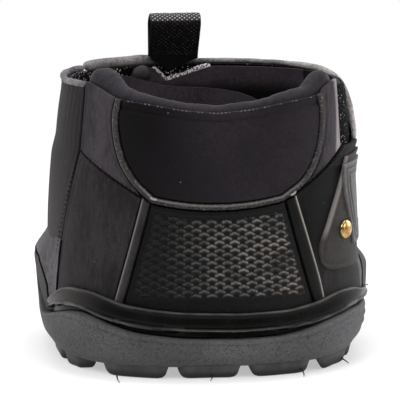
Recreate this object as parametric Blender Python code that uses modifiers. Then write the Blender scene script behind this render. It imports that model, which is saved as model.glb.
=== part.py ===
"""Hoof boot: a moulded rubber sole cup, a sewn upper open at the top, and three closing flaps in front.

X runs to the boot's right as seen from behind, Y runs forwards to the toe and Z runs up.
Angles round the boot are in degrees: 0 is the right side, 90 the toe, 180 the left side, 270 the heel.
All lengths are in metres.
"""
import math

import bmesh
import bpy
import numpy as np
from mathutils import Matrix, Vector

# Sole cup: half widths and reaches of its outline at the tread, the rim and the top of the toe wall
TREAD_HALF_WIDTH = 0.0655
TREAD_TOE_REACH = 0.0700
TREAD_HEEL_REACH = 0.0705
RIM_HALF_WIDTH = 0.0730
RIM_TOE_REACH = 0.0752
RIM_HEEL_REACH = 0.0748
WALL_HALF_WIDTH = 0.0755
WALL_RIGHT_HALF_WIDTH = 0.0770
WALL_TOE_REACH = 0.0735
LUG_DEPTH = 0.0050
RIM_HEIGHT = 0.0202
RIM_RISE = 0.0080
WALL_HEIGHT = 0.0470
WALL_TOE_CREST = 0.0030
WALL_DROP = 0.0120
LEDGE_HEIGHT = 0.0165
FLOOR_HEIGHT = 0.0110
SOLE_CHAMFER = 0.0012
LUG_INSET = 0.0012
LUG_PITCH_ACROSS = 0.0312
LUG_PITCH_ALONG = 0.0300
GROOVE_WIDTH = 0.0052
GROOVE_TAPER = 0.0036
GRID_SHIFT_ACROSS = -0.0055
GRID_SHIFT_ALONG = 0.0050
SOLE_HEEL_POWER = 2.8
WALL_END_ANGLE = 78.0
WALL_END_RUN = 6.0
WALL_DROP_ANGLES = (-6.0, 0.0, 18.0, 35.0, 60.0, 120.0, 150.0, 156.0, 168.0, 180.0, 192.0)
WALL_DROP_SHARES = (1.0, 1.0, 0.86, 0.45, 0.0, 0.0, 0.07, 0.20, 0.35, 0.28, 0.25)
RIM_LINE_ANGLES = (0.0, 12.0, 24.0, 36.0, 46.0, 53.0, 64.0, 78.0)
RIM_LINE_SHARES = (0.0, 0.06, 0.30, 0.60, 0.90, 1.0, 0.95, 0.80)

# Upper: half widths and reaches of its outer skin at the foot, the bend and the head
FOOT_HEIGHT = 0.0160
BEND_HEIGHT = 0.0760
HEAD_HEIGHT = 0.1280
FOOT_HALF_WIDTH = 0.0700
FOOT_TOE_REACH = 0.0710
FOOT_HEEL_REACH = 0.0700
BEND_HALF_WIDTH = 0.0695
BEND_TOE_REACH = 0.0600
BEND_HEEL_REACH = 0.0610
HEAD_HALF_WIDTH = 0.0645
HEAD_TOE_REACH = 0.0490
HEAD_HEEL_REACH = 0.0575
TOE_POWER = 2.2
UPPER_HEEL_POWER = 2.6

# Layers of the upper, from the outer skin inwards
GAP = 0.0003
LAYER_GAP = 0.0004
SEAM_GAP = 0.0005
LINING_GAP = 0.0016
CUP_GAP = 0.0007
PANEL_THICKNESS = 0.0018
LINER_THICKNESS = 0.0035
PILE_THICKNESS = 0.0009
FLAP_THICKNESS = 0.0020
VAMP_THICKNESS = 0.0020
TONGUE_THICKNESS = 0.0034
EDGE_ROUND = 0.0004
ROUNDED_EDGE_ANGLE = 50.0
SHARP_EDGE_ANGLE = 40.0
LEAN_SHARE = 0.22

# Collar line: the top edge dips behind and rises to the sides
COLLAR_DIP_HEIGHT = 0.1140
COLLAR_SIDE_HEIGHT = 0.1260
COLLAR_LINE_ANGLES = (0.0, 15.0, 30.0, 42.0, 49.0, 56.0, 64.0, 80.0, 122.0)
COLLAR_LINE_SHARES = (0.0, 0.12, 0.35, 0.48, 0.78, 0.98, 0.96, 0.88, 0.875)

# Heel panel, its trims and the collar pad, with angles counted from the heel's middle
HEEL_PANEL_FOOT_ANGLE = 37.0
HEEL_PANEL_HEAD_ANGLE = 26.3
TRIM_WIDTH = 0.0034
PAD_FOOT_HEIGHT = 0.0755
PAD_FOOT_DIP = 0.0030
PAD_CROWN = 0.0022
PAD_CROWN_POWER = 0.6
PAD_THICKNESS = 0.0016
PAD_FOOT_ANGLE = 25.0
PAD_SIDE_ANGLES = (25.0, 33.5, 38.5, 41.5, 43.0, 42.0)
PAD_SIDE_SHARES = (0.0, 0.165, 0.35, 0.56, 0.80, 1.0)
BINDING_WIDTH = 0.0026
BINDING_STAND = 0.0006
SEAM_RADIUS = 0.0660

# Quarters and wings
SIDE_SEAM_FOOT_ANGLE = 72.8
SIDE_SEAM_HEAD_ANGLE = 56.5
WING_FOOT_SHARE = 0.715
LINER_END_ANGLE = 57.0

# Heel rand
RAND_HEIGHT = 0.0085
RAND_THICKNESS = 0.0020
RAND_END_ANGLE = 75.0
RAND_CLEARANCE = 0.0010

# Collar roll
ROLL_RADIUS = 0.0040
ROLL_END_SWELL = 0.45
ROLL_END_ANGLE = 56.0
ROLL_SWELL_POWER = 3
ROLL_SINK = 0.0016

# Front closure: angles of the hinges and ends of the flaps
LEFT_HINGE_ANGLE = 150.0
RIGHT_HINGE_ANGLE = 30.0
FLAP_END_ANGLE = -12.0
INNER_FLAP_END_ANGLE = 118.0
TONGUE_END_ANGLE = 62.0
TOE_BOX_HEIGHT = 0.0515
FLAP_FOOT_HEIGHT = 0.0523
FLAP_CREST_HEIGHT = 0.1225
FLAP_SIDE_HEIGHT = 0.0890
FLAP_HEAD_ANGLES = (-12.0, -4.0, 6.0, 18.0, 40.0, 90.0)
FLAP_HEAD_SHARES = (0.0, 0.33, 0.66, 0.90, 0.985, 1.0, 0.965)
INNER_HEAD_HEIGHT = 0.1213
NOTCH_DEPTH = 0.0070
TONGUE_ROOT_HEIGHT = 0.1190
TONGUE_END_HEIGHT = 0.1085
AXIS_STAND = 0.0010
EDGE_BINDING_RADIUS = 0.0015

# Pull loop of folded webbing
LOOP_WIDTH = 0.0245
LOOP_HEIGHT = 0.0200
LOOP_DEPTH = 0.0110
LOOP_SEAM_HEIGHT = 0.0026
WEBBING_THICKNESS = 0.0013
LOOP_ANGLE = 99.5
LOOP_AXIS_HEIGHT = 0.1264
LOOP_TAIL_LENGTH = 0.0075
TAIL_SPREAD = 1.25
TAIL_FOOT_SHARES = ((-1.0, 0.2), (0.0, 1.0), (1.0, 0.2))
NOTCH_HALF_ANGLE = 16.0

# Side overlay and its rivet
OVERLAY_THICKNESS = 0.0013
OVERLAY_FRONT_ANGLE = 346.0
OVERLAY_FOOT_HEIGHT = 0.0440
OVERLAY_HEAD_HEIGHT = 0.0920
RIVET_ANGLE = 320.5
RIVET_HEIGHT = 0.0607
RIVET_RADIUS = 0.0044
RIVET_DOME = 0.0026
SHANK_RADIUS = 0.0014
BURR_RADIUS = 0.0029
BURR_SEAT = 0.0006
BURR_THICKNESS = 0.0007
ROUND_STEPS = 16
END_TAB_THICKNESS = 0.0013
END_TAB_CLEARANCE = 0.0010
END_TAB_FRONT_ANGLE = -2.0
END_TAB_STEP_SHARES = (0.63, 0.75)

# Insole
BOARD_THICKNESS = 0.0015
FOOTBED_THICKNESS = 0.0055
FOOTBED_CLEARANCE = 0.0008

# Overrun of every cut past the face it opens, and the cross sections round the cup
OVERRUN = 0.0020
MERGE_DISTANCE = 0.00001
STATIONS = 60
HEEL_ANGLE = 270.0


def clear_scene():
    """Start from an empty scene."""
    for thing in list(bpy.data.objects):
        bpy.data.objects.remove(thing, do_unlink=True)


clear_scene()
PARTS = bpy.data.collections.new("hoof_boot")
CUTTERS = bpy.data.collections.new("cutters")
for group in (PARTS, CUTTERS):
    bpy.context.scene.collection.children.link(group)


def finish(name, colour, roughness, metallic=0.0):
    """A plain surface finish of one colour."""
    material = bpy.data.materials.new(name)
    material.use_nodes = True
    shader = material.node_tree.nodes["Principled BSDF"]
    shader.inputs["Base Color"].default_value = (*colour, 1.0)
    shader.inputs["Roughness"].default_value = roughness
    shader.inputs["Metallic"].default_value = metallic
    return material


# Shapes of the boot's outline

def squared_oval(angle, half_width, toe_reach, heel_reach, heel_power):
    """Point and outward direction of an oval with squared corners, at an angle from its middle."""
    across = math.cos(math.radians(angle))
    along = math.sin(math.radians(angle))
    reach = toe_reach if along > 0 else heel_reach
    power = TOE_POWER if along > 0 else heel_power
    radius = (abs(across / half_width) ** power + abs(along / reach) ** power) ** (-1 / power)
    place = Vector((radius * across, radius * along))
    facing = Vector((
        math.copysign(abs(place.x / half_width) ** (power - 1) / half_width, across),
        math.copysign(abs(place.y / reach) ** (power - 1) / reach, along),
    ))
    return place, facing.normalized()


def curve_through(height, foot, bend, head):
    """Smooth change of one size of the upper through its foot, bend and head."""
    heights = (FOOT_HEIGHT, BEND_HEIGHT, HEAD_HEIGHT)
    total = 0.0
    for i, value in enumerate((foot, bend, head)):
        weight = 1.0
        for j, other in enumerate(heights):
            if j != i:
                weight *= (height - other) / (heights[i] - other)
        total += weight * value
    return total


def skin(angle, height, out=0.0):
    """Point on the upper's outer skin, or a distance out from it."""
    place, facing = squared_oval(
        angle,
        curve_through(height, FOOT_HALF_WIDTH, BEND_HALF_WIDTH, HEAD_HALF_WIDTH),
        curve_through(height, FOOT_TOE_REACH, BEND_TOE_REACH, HEAD_TOE_REACH),
        curve_through(height, FOOT_HEEL_REACH, BEND_HEEL_REACH, HEAD_HEEL_REACH),
        UPPER_HEEL_POWER,
    )
    return Vector((*(place + facing * out), height))


def sole_skin(angle, height, out=0.0):
    """Point on the sole's outer side: it bulges from the tread to the rim and flares up the toe wall."""
    rise = max(height - LUG_DEPTH, 0.0)
    bulge = 1.0 - (1.0 - min(rise / (RIM_HEIGHT - LUG_DEPTH), 1.0)) ** 2
    flare = max(height - RIM_HEIGHT, 0.0) / (WALL_HEIGHT - RIM_HEIGHT)
    half_width = TREAD_HALF_WIDTH + (RIM_HALF_WIDTH - TREAD_HALF_WIDTH) * bulge
    toe_reach = TREAD_TOE_REACH + (RIM_TOE_REACH - TREAD_TOE_REACH) * bulge
    heel_reach = TREAD_HEEL_REACH + (RIM_HEEL_REACH - TREAD_HEEL_REACH) * bulge
    wall_half_width = WALL_RIGHT_HALF_WIDTH if math.cos(math.radians(angle)) > 0 else WALL_HALF_WIDTH
    half_width += (wall_half_width - RIM_HALF_WIDTH) * flare
    toe_reach += (WALL_TOE_REACH - RIM_TOE_REACH) * flare
    place, facing = squared_oval(angle, half_width, toe_reach, heel_reach, SOLE_HEEL_POWER)
    return Vector((*(place + facing * out), height))


def turn_from_heel(angle):
    """Degrees between an angle and the heel's middle, on either side."""
    return abs((angle - HEEL_ANGLE + 180.0) % 360.0 - 180.0)


def rim_height(angle):
    """Top of the sole's rim behind, which rises to the sides and dips again before the toe wall."""
    return RIM_HEIGHT + RIM_RISE * float(np.interp(turn_from_heel(angle), RIM_LINE_ANGLES, RIM_LINE_SHARES))


def wall_height(angle):
    """Top edge of the cup: the rim behind, then the high wall round the toe, lower at its ends."""
    turn = turn_from_heel(angle)
    step = min(max((turn - WALL_END_ANGLE) / WALL_END_RUN, 0.0), 1.0)
    ahead = (angle + 90.0) % 360.0 - 90.0
    crest = WALL_HEIGHT + WALL_TOE_CREST * max(turn - 90.0, 0.0) / 90.0
    crest -= WALL_DROP * float(np.interp(ahead, WALL_DROP_ANGLES, WALL_DROP_SHARES))
    return rim_height(angle) + (crest - rim_height(angle)) * step


def collar_height(turn):
    """Top edge of the upper, by degrees from the heel's middle."""
    share = np.interp(abs(turn), COLLAR_LINE_ANGLES, COLLAR_LINE_SHARES)
    return COLLAR_DIP_HEIGHT + (COLLAR_SIDE_HEIGHT - COLLAR_DIP_HEIGHT) * float(share)


# Seams are drawn on the upper rolled out flat: distance round the boot, and height

def flat(angle, height):
    """A place on the rolled out upper."""
    return np.array((math.radians(angle) * SEAM_RADIUS, height))


def flat_angle(distance):
    """The angle of a distance round the rolled out upper."""
    return math.degrees(distance / SEAM_RADIUS)


def line(*places):
    """A seam as an array of places on the rolled out upper."""
    return np.array(places)


def smooth(places, pieces):
    """The same seam with each stretch rounded into a number of pieces."""
    ends = np.vstack((2 * places[0] - places[1], places, 2 * places[-1] - places[-2]))
    out = []
    for i in range(1, len(ends) - 2):
        before, start, end, after = ends[i - 1:i + 3]
        for k in range(pieces):
            t = k / pieces
            out.append(0.5 * (2 * start + (end - before) * t
                              + (2 * before - 5 * start + 4 * end - after) * t ** 2
                              + (3 * start - before - 3 * end + after) * t ** 3))
    out.append(places[-1])
    return np.array(out)


def beside(seam, distance):
    """A seam moved sideways, to the left of its run."""
    run = np.gradient(seam, axis=0)
    run /= np.linalg.norm(run, axis=1)[:, None]
    return seam + distance * np.column_stack((-run[:, 1], run[:, 0]))


def along(seam, share):
    """The place at a share of a seam's length."""
    steps = np.linalg.norm(np.diff(seam, axis=0), axis=1)
    reached = np.concatenate(((0.0,), np.cumsum(steps)))
    wanted = share * reached[-1]
    return np.array([np.interp(wanted, reached, seam[:, axis]) for axis in (0, 1)])


def even(seam, pieces):
    """The same seam in stretches of equal length."""
    return line(*[along(seam, i / pieces) for i in range(pieces + 1)])


def patch(foot, head, left, right):
    """A filling of four seams: foot and head run left to right, left and right run upwards."""
    def place(u, v):
        ruled = (1 - v) * along(foot, u) + v * along(head, u)
        sides = (1 - u) * along(left, v) + u * along(right, v)
        corners = ((1 - u) * (1 - v) * foot[0] + u * (1 - v) * foot[-1]
                   + (1 - u) * v * head[0] + u * v * head[-1])
        return ruled + sides - corners
    return place


def link(thing, material, parent=None):
    """Put a finished object in the boot, with its material and what carries it."""
    PARTS.objects.link(thing)
    thing.data.materials.clear()
    thing.data.materials.append(material)
    if parent is not None:
        thing.parent = parent
        thing.matrix_parent_inverse = parent.matrix_world.inverted()
    return thing


def round_off(thing, width=EDGE_ROUND):
    """A small round along the sharp edges."""
    bevel = thing.modifiers.new("edge_round", "BEVEL")
    bevel.width = width
    bevel.segments = 1
    bevel.limit_method = "ANGLE"
    bevel.angle_limit = math.radians(ROUNDED_EDGE_ANGLE)
    return thing


def sheet_mesh(name, place, columns, rows, out, mirrored):
    """A grid bent over the upper's skin, which runs round by columns and up by rows."""
    cage = bmesh.new()
    bmesh.ops.create_grid(cage, x_segments=columns, y_segments=rows, size=0.5)
    for vertex in cage.verts:
        u, v = vertex.co.x + 0.5, vertex.co.y + 0.5
        distance, height = place(1 - u if mirrored else u, v)
        stand = out(u, v) if callable(out) else out
        bent = skin(flat_angle(distance), height, stand)
        vertex.co = Vector((-bent.x, bent.y, bent.z)) if mirrored else bent
    mesh = bpy.data.meshes.new(name)
    cage.to_mesh(mesh)
    cage.free()
    mesh.shade_smooth()
    mesh.set_sharp_from_angle(angle=math.radians(SHARP_EDGE_ANGLE))
    return mesh


def layer(name, material, place, columns, rows, out, thickness, mirrored=False, parent=None):
    """A cloth or leather layer of even thickness, whose outer face stands out from the skin."""
    thing = bpy.data.objects.new(name, sheet_mesh(name, place, columns, rows, out, mirrored))
    link(thing, material, parent)
    wall = thing.modifiers.new("wall", "SOLIDIFY")
    wall.thickness = thickness
    wall.offset = -1.0
    return thing


def panel(*shape, **options):
    """An outer panel: a layer whose edges are skived round."""
    return round_off(layer(*shape, **options))


def tube(name, material, points, radius, swells=None, parent=None):
    """A round cord or roll along points, fatter where its swell is over one."""
    curve = bpy.data.curves.new(name, "CURVE")
    curve.dimensions = "3D"
    curve.bevel_depth = radius
    curve.bevel_resolution = 2
    curve.use_fill_caps = True
    spline = curve.splines.new("POLY")
    spline.points.add(len(points) - 1)
    for i, point in enumerate(points):
        spline.points[i].co = (*point, 1.0)
        spline.points[i].radius = 1.0 if swells is None else swells[i]
    return link(bpy.data.objects.new(name, curve), material, parent)


def slab(name, material, outline, base, thickness, parent=None):
    """A flat board: an outline in X and Y, filled and given its thickness."""
    curve = bpy.data.curves.new(name, "CURVE")
    curve.dimensions = "2D"
    curve.fill_mode = "BOTH"
    curve.extrude = thickness / 2
    spline = curve.splines.new("POLY")
    spline.points.add(len(outline) - 1)
    spline.use_cyclic_u = True
    for i, point in enumerate(outline):
        spline.points[i].co = (point[0], point[1], 0.0, 1.0)
    thing = bpy.data.objects.new(name, curve)
    thing.location.z = base + thickness / 2
    return link(thing, material, parent)


def loft(name, loops):
    """A closed skin through loops of points, with a flat face over the first and the last."""
    cage = bmesh.new()
    rings = [[cage.verts.new(point) for point in loop] for loop in loops]
    for lower, upper in zip(rings, rings[1:]):
        for i in range(len(lower)):
            j = (i + 1) % len(lower)
            cage.faces.new((lower[i], lower[j], upper[j], upper[i]))
    cage.faces.new(list(reversed(rings[0])))
    cage.faces.new(rings[-1])
    mesh = bpy.data.meshes.new(name)
    cage.to_mesh(mesh)
    cage.free()
    return mesh


def cutter(name, mesh):
    """A hidden shape that only cuts others."""
    thing = bpy.data.objects.new(name, mesh)
    thing.hide_render = True
    thing.display_type = "WIRE"
    CUTTERS.objects.link(thing)
    return thing


def cut(thing, tool, before_edges=True):
    """Take a cutter's shape out of a piece, before its edges are rounded."""
    modifier = thing.modifiers.new("cut_" + tool.name, "BOOLEAN")
    modifier.operation = "DIFFERENCE"
    modifier.object = tool
    if before_edges and "edge_round" in thing.modifiers:
        thing.modifiers.move(len(thing.modifiers) - 1, thing.modifiers.find("edge_round"))


def hinge(name, angle, out):
    """An empty on a flap's fold line, which follows the skin from the flap's foot to its head."""
    foot = skin(angle, FLAP_FOOT_HEIGHT, out)
    head = skin(angle, FLAP_CREST_HEIGHT, out)
    empty = bpy.data.objects.new(name, None)
    empty.location = foot
    empty.rotation_mode = "QUATERNION"
    empty.rotation_quaternion = (head - foot).to_track_quat("Z", "Y")
    empty.empty_display_size = FLAP_FOOT_HEIGHT
    PARTS.objects.link(empty)
    bpy.context.view_layer.update()
    return empty


# Finishes
RUBBER = finish("sole_rubber", (0.16, 0.165, 0.17), 0.85)
BLACK_RUBBER = finish("rand_rubber", (0.035, 0.033, 0.033), 0.42)
LEATHER = finish("grained_leather", (0.075, 0.070, 0.074), 0.6)
SMOOTH_LEATHER = finish("collar_leather", (0.060, 0.050, 0.058), 0.5)
HEEL_LEATHER = finish("embossed_leather", (0.030, 0.028, 0.028), 0.35)
TRIM = finish("trim_binding", (0.22, 0.21, 0.20), 0.6)
LINING = finish("lining_cloth", (0.050, 0.042, 0.048), 0.8)
PILE = finish("loop_pile", (0.020, 0.018, 0.020), 0.95)
WEBBING = finish("black_webbing", (0.018, 0.016, 0.018), 0.85)
BOARD = finish("insole_board", (0.30, 0.24, 0.17), 0.9)
FOAM = finish("footbed_foam", (0.05, 0.05, 0.055), 0.9)
BRASS = finish("brass", (0.85, 0.58, 0.25), 0.25, 1.0)


# Sole cup with its lugs

def stations():
    """Angles of the cup's cross sections: even steps, and both ends of the steep edge of the wall."""
    angles = {round(360.0 * i / STATIONS, 3) for i in range(STATIONS)}
    for side in (-1, 1):
        for turn in (WALL_END_ANGLE, WALL_END_ANGLE + WALL_END_RUN):
            angles.add(round((HEEL_ANGLE + side * turn) % 360.0, 3))
    return sorted(angles)


WELL_INSET = GAP + PANEL_THICKNESS + LAYER_GAP + LINER_THICKNESS + FOOTBED_CLEARANCE


def make_outsole():
    """The cup: lug faces, bulging sides, toe wall, the ledge under the upper and the insole's well."""
    angles = stations()
    side_shares = (0.0, 0.25, 0.5, 0.75, 1.0)
    loops = [
        [sole_skin(a, 0.0, -LUG_INSET - SOLE_CHAMFER) for a in angles],
        [sole_skin(a, SOLE_CHAMFER, -LUG_INSET) for a in angles],
        [sole_skin(a, LUG_DEPTH - GAP, -LUG_INSET) for a in angles],
    ]
    for share in side_shares:
        rises = [(wall_height(a) - SOLE_CHAMFER - LUG_DEPTH) * share for a in angles]
        loops.append([sole_skin(a, LUG_DEPTH + rise) for a, rise in zip(angles, rises)])
    loops.append([sole_skin(a, wall_height(a), -SOLE_CHAMFER) for a in angles])
    loops.append([skin(a, wall_height(a), CUP_GAP + SOLE_CHAMFER) for a in angles])
    loops.append([skin(a, wall_height(a) - SOLE_CHAMFER, CUP_GAP) for a in angles])
    loops.append([skin(a, LEDGE_HEIGHT, CUP_GAP) for a in angles])
    well = [skin(a, LEDGE_HEIGHT, -WELL_INSET) for a in angles]
    loops.append(well)
    loops.append([Vector((p.x, p.y, FLOOR_HEIGHT)) for p in well])
    thing = bpy.data.objects.new("outsole", loft("outsole", loops))
    link(thing, RUBBER)
    cut(thing, cutter("grooves_along", groove_bars(True)))
    cut(thing, cutter("grooves_across", groove_bars(False)))


def groove_bars(run_along):
    """Bars that cut the grooves between lugs: wider at the ground, so that the lugs taper down."""
    cage = bmesh.new()
    pitch = LUG_PITCH_ACROSS if run_along else LUG_PITCH_ALONG
    shift = GRID_SHIFT_ACROSS if run_along else GRID_SHIFT_ALONG
    reach = TREAD_HALF_WIDTH if run_along else TREAD_TOE_REACH
    length = RIM_HEEL_REACH + RIM_TOE_REACH + 2 * OVERRUN
    count = int(reach / pitch) + 1
    for k in range(-count - 1, count + 1):
        middle = shift + (k + 0.5) * pitch
        if abs(middle) > reach - 2 * GROOVE_WIDTH:
            continue
        made = bmesh.ops.create_cube(cage, size=1.0)["verts"]
        for vertex in made:
            low = vertex.co.z < 0
            height = -OVERRUN if low else LUG_DEPTH
            width = GROOVE_WIDTH + (GROOVE_TAPER * (1 + OVERRUN / LUG_DEPTH) if low else 0.0)
            across = middle + vertex.co.x * width
            run = vertex.co.y * length
            vertex.co = (across, run, height) if run_along else (run, across, height)
    bmesh.ops.recalc_face_normals(cage, faces=cage.faces)
    mesh = bpy.data.meshes.new("grooves")
    cage.to_mesh(mesh)
    cage.free()
    return mesh


make_outsole()


# Insole board and footbed in the cup's well
INSOLE_INSET = WELL_INSET + FOOTBED_CLEARANCE
well_outline = [skin(360.0 * i / STATIONS, LEDGE_HEIGHT, -INSOLE_INSET) for i in range(STATIONS)]
FOOTBED_BASE = FLOOR_HEIGHT + GAP + BOARD_THICKNESS + GAP
slab("insole_board", BOARD, well_outline, FLOOR_HEIGHT + GAP, BOARD_THICKNESS)
slab("footbed", FOAM, well_outline, FOOTBED_BASE, FOOTBED_THICKNESS)


# Seams of the upper behind: the collar pad's outline, shared by its binding, the heel panel and the wings
def pad_side():
    """The collar pad's right side, from its lower corner up to the collar line."""
    low = PAD_FOOT_HEIGHT + PAD_FOOT_DIP
    places = []
    for angle, share in zip(PAD_SIDE_ANGLES, PAD_SIDE_SHARES):
        places.append(flat(HEEL_ANGLE + angle, low + share * (collar_height(angle) - low)))
    return smooth(line(*places), 3)


def mirror_seam(seam):
    """A seam on the other side of the heel's middle, run the other way."""
    middle = flat(HEEL_ANGLE, 0.0)[0]
    return np.column_stack((2 * middle - seam[::-1, 0], seam[::-1, 1]))


def pad_foot():
    """The collar pad's lower edge, which sags in the middle."""
    turns = np.linspace(-PAD_FOOT_ANGLE, PAD_FOOT_ANGLE, 11)
    return line(*[
        flat(HEEL_ANGLE + t, PAD_FOOT_HEIGHT + PAD_FOOT_DIP * (t / PAD_FOOT_ANGLE) ** 2) for t in turns])


PAD_RIGHT = pad_side()
PAD_LEFT = mirror_seam(PAD_RIGHT)[::-1]
PAD_FOOT = pad_foot()
PAD_OUTLINE = np.vstack((PAD_LEFT[::-1][:-1], PAD_FOOT, PAD_RIGHT[1:]))
HEM = beside(PAD_OUTLINE, -(BINDING_WIDTH + 2 * SEAM_GAP))
MIDDLE = flat(HEEL_ANGLE, 0.0)[0]


def hem_place(turn):
    """Place under the collar binding, at degrees from the heel's middle."""
    low = HEM[HEM[:, 1] < COLLAR_DIP_HEIGHT - PAD_CROWN]
    half = low[low[:, 0] >= MIDDLE]
    widest = int(np.argmax(half[:, 0]))
    distance = flat(abs(turn), 0.0)[0]
    height = np.interp(MIDDLE + distance, half[:widest + 1, 0], half[:widest + 1, 1])
    return np.array((flat(HEEL_ANGLE + turn, 0.0)[0], height))


def collar_line(start, end, steps, drop=0.0):
    """The collar line between two turns from the heel's middle, lowered by a drop."""
    return line(*[flat(HEEL_ANGLE + t, collar_height(t) - drop) for t in np.linspace(start, end, steps)])


UPPER_FOOT_HEIGHT = LEDGE_HEIGHT + SEAM_GAP + LINER_THICKNESS * LEAN_SHARE
SEAM_ANGLE = flat_angle(SEAM_GAP)
TRIM_ANGLE = flat_angle(TRIM_WIDTH)
LINING_ANGLE = flat_angle(LINING_GAP)


# Collar pad: a crowned cushion behind the pastern, closed by its own binding
def pad_stand(u, v):
    """The crown of the collar pad over its edges."""
    return EDGE_ROUND + PAD_CROWN * (math.sin(math.pi * u) * math.sin(math.pi * v)) ** PAD_CROWN_POWER


PAD_TOP = collar_line(-PAD_SIDE_ANGLES[-1], PAD_SIDE_ANGLES[-1], 15)
panel("collar_pad", SMOOTH_LEATHER, patch(PAD_FOOT, PAD_TOP, PAD_LEFT, PAD_RIGHT),
      12, 6, pad_stand, PAD_THICKNESS)

BINDING_INNER = beside(PAD_OUTLINE, -SEAM_GAP)
BINDING_OUTER = beside(PAD_OUTLINE, -SEAM_GAP - BINDING_WIDTH)
panel(
    "collar_binding", TRIM,
    patch(BINDING_OUTER, BINDING_INNER, line(BINDING_OUTER[0], BINDING_INNER[0]),
          line(BINDING_OUTER[-1], BINDING_INNER[-1])),
    24, 1, BINDING_STAND, PANEL_THICKNESS)


# Heel panel of embossed leather, between two raised trims
def leaning_side(foot_angle, head_angle, start_height=UPPER_FOOT_HEIGHT, pieces=6):
    """A seam that leans from an angle at the upper's foot to another under the collar binding."""
    foot = flat(HEEL_ANGLE + foot_angle, UPPER_FOOT_HEIGHT)
    head = hem_place(head_angle)
    foot = foot + (head - foot) * (start_height - foot[1]) / (head[1] - foot[1])
    return line(*[foot + (head - foot) * i / pieces for i in range(pieces + 1)])


def hem_run(start, end, pieces=10):
    """The seam under the collar binding between two turns."""
    return line(*[hem_place(t) for t in np.linspace(start, end, pieces + 1)])


def foot_run(start, end, pieces=10):
    """The upper's lower edge between two turns."""
    return line(*[flat(HEEL_ANGLE + t, UPPER_FOOT_HEIGHT) for t in np.linspace(start, end, pieces + 1)])


panel(
    "heel_panel", HEEL_LEATHER,
    patch(foot_run(-HEEL_PANEL_FOOT_ANGLE, HEEL_PANEL_FOOT_ANGLE),
          hem_run(-HEEL_PANEL_HEAD_ANGLE, HEEL_PANEL_HEAD_ANGLE),
          leaning_side(-HEEL_PANEL_FOOT_ANGLE, -HEEL_PANEL_HEAD_ANGLE),
          leaning_side(HEEL_PANEL_FOOT_ANGLE, HEEL_PANEL_HEAD_ANGLE)),
    10, 5, 0.0, PANEL_THICKNESS)

TRIM_FOOT = (HEEL_PANEL_FOOT_ANGLE + SEAM_ANGLE, HEEL_PANEL_FOOT_ANGLE + SEAM_ANGLE + TRIM_ANGLE)
TRIM_HEAD = (HEEL_PANEL_HEAD_ANGLE + SEAM_ANGLE, HEEL_PANEL_HEAD_ANGLE + SEAM_ANGLE + TRIM_ANGLE)
TRIM_FOOT_HEIGHT = rim_height(HEEL_ANGLE + TRIM_FOOT[1]) + RAND_CLEARANCE
TRIM_SIDES = [leaning_side(foot, head, TRIM_FOOT_HEIGHT) for foot, head in zip(TRIM_FOOT, TRIM_HEAD)]
for side_name, mirrored in (("right", False), ("left", True)):
    panel(
        "heel_trim_" + side_name, TRIM,
        patch(line(TRIM_SIDES[0][0], TRIM_SIDES[1][0]), hem_run(*TRIM_HEAD, 1), *TRIM_SIDES),
        1, 4, BINDING_STAND, PANEL_THICKNESS, mirrored)


# Wings beside the collar pad and quarters below them; the right quarter runs on under the overlay
WING_FOOT_HEIGHT = FOOT_HEIGHT + (HEAD_HEIGHT - FOOT_HEIGHT) * WING_FOOT_SHARE
WING_TIP_ANGLE = TRIM_HEAD[1] + SEAM_ANGLE
WING_TIP = hem_place(WING_TIP_ANGLE)
SEAM_HEAD = flat(HEEL_ANGLE + SIDE_SEAM_HEAD_ANGLE, WING_FOOT_HEIGHT)


def diagonal(drop):
    """The seam between wing and quarter, lowered by a drop."""
    lowered = np.array((0.0, -drop))
    return line(WING_TIP + lowered, SEAM_HEAD + lowered)


def hem_side():
    """The wing's inner edge: along the collar binding from the wing's tip up to the collar line."""
    start = int(np.argmin(np.linalg.norm(HEM - WING_TIP, axis=1)))
    return np.vstack((WING_TIP, HEM[start + 1:]))


WING_SIDE = hem_side()
WING_HEAD_TURN = flat_angle(WING_SIDE[-1][0]) - HEEL_ANGLE
WING_HEAD = line(WING_SIDE[-1], *collar_line(WING_HEAD_TURN, SIDE_SEAM_HEAD_ANGLE, 5)[1:])
WING_SEAM = line(SEAM_HEAD, WING_HEAD[-1])
QUARTER_SIDE = leaning_side(TRIM_FOOT[1] + SEAM_ANGLE, WING_TIP_ANGLE)
QUARTER_SIDE[-1] = diagonal(SEAM_GAP)[0]


def make_quarter(name, mirrored, front_foot, front_head):
    """A quarter from the heel trim forwards, under the wing's diagonal seam."""
    seam = diagonal(SEAM_GAP)
    front_top = flat(HEEL_ANGLE + front_head, seam[-1][1])
    head = seam if front_top[0] <= seam[-1][0] else line(*seam, front_top)
    foot = foot_run(TRIM_FOOT[1] + SEAM_ANGLE, front_foot, 8)
    outline = patch(foot, head, QUARTER_SIDE, line(foot[-1], head[-1]))
    return panel(name, LEATHER, outline, 6, 5, 0.0, PANEL_THICKNESS, mirrored)


for side_name, mirrored in (("right", False), ("left", True)):
    panel("wing_" + side_name, SMOOTH_LEATHER,
          patch(diagonal(-SEAM_GAP), WING_HEAD, WING_SIDE, WING_SEAM), 4, 5, 0.0, PANEL_THICKNESS, mirrored)
make_quarter("quarter_left", True, SIDE_SEAM_FOOT_ANGLE, SIDE_SEAM_HEAD_ANGLE)
OVERLAY_FRONT_TURN = OVERLAY_FRONT_ANGLE - HEEL_ANGLE
right_quarter = make_quarter("quarter_right", False, OVERLAY_FRONT_TURN, OVERLAY_FRONT_TURN)


# Padded liner behind, under the collar roll
def roll_swell(turn):
    """How much fatter the collar roll is towards its ends."""
    return 1.0 + ROLL_END_SWELL * (abs(turn) / ROLL_END_ANGLE) ** ROLL_SWELL_POWER


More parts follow.
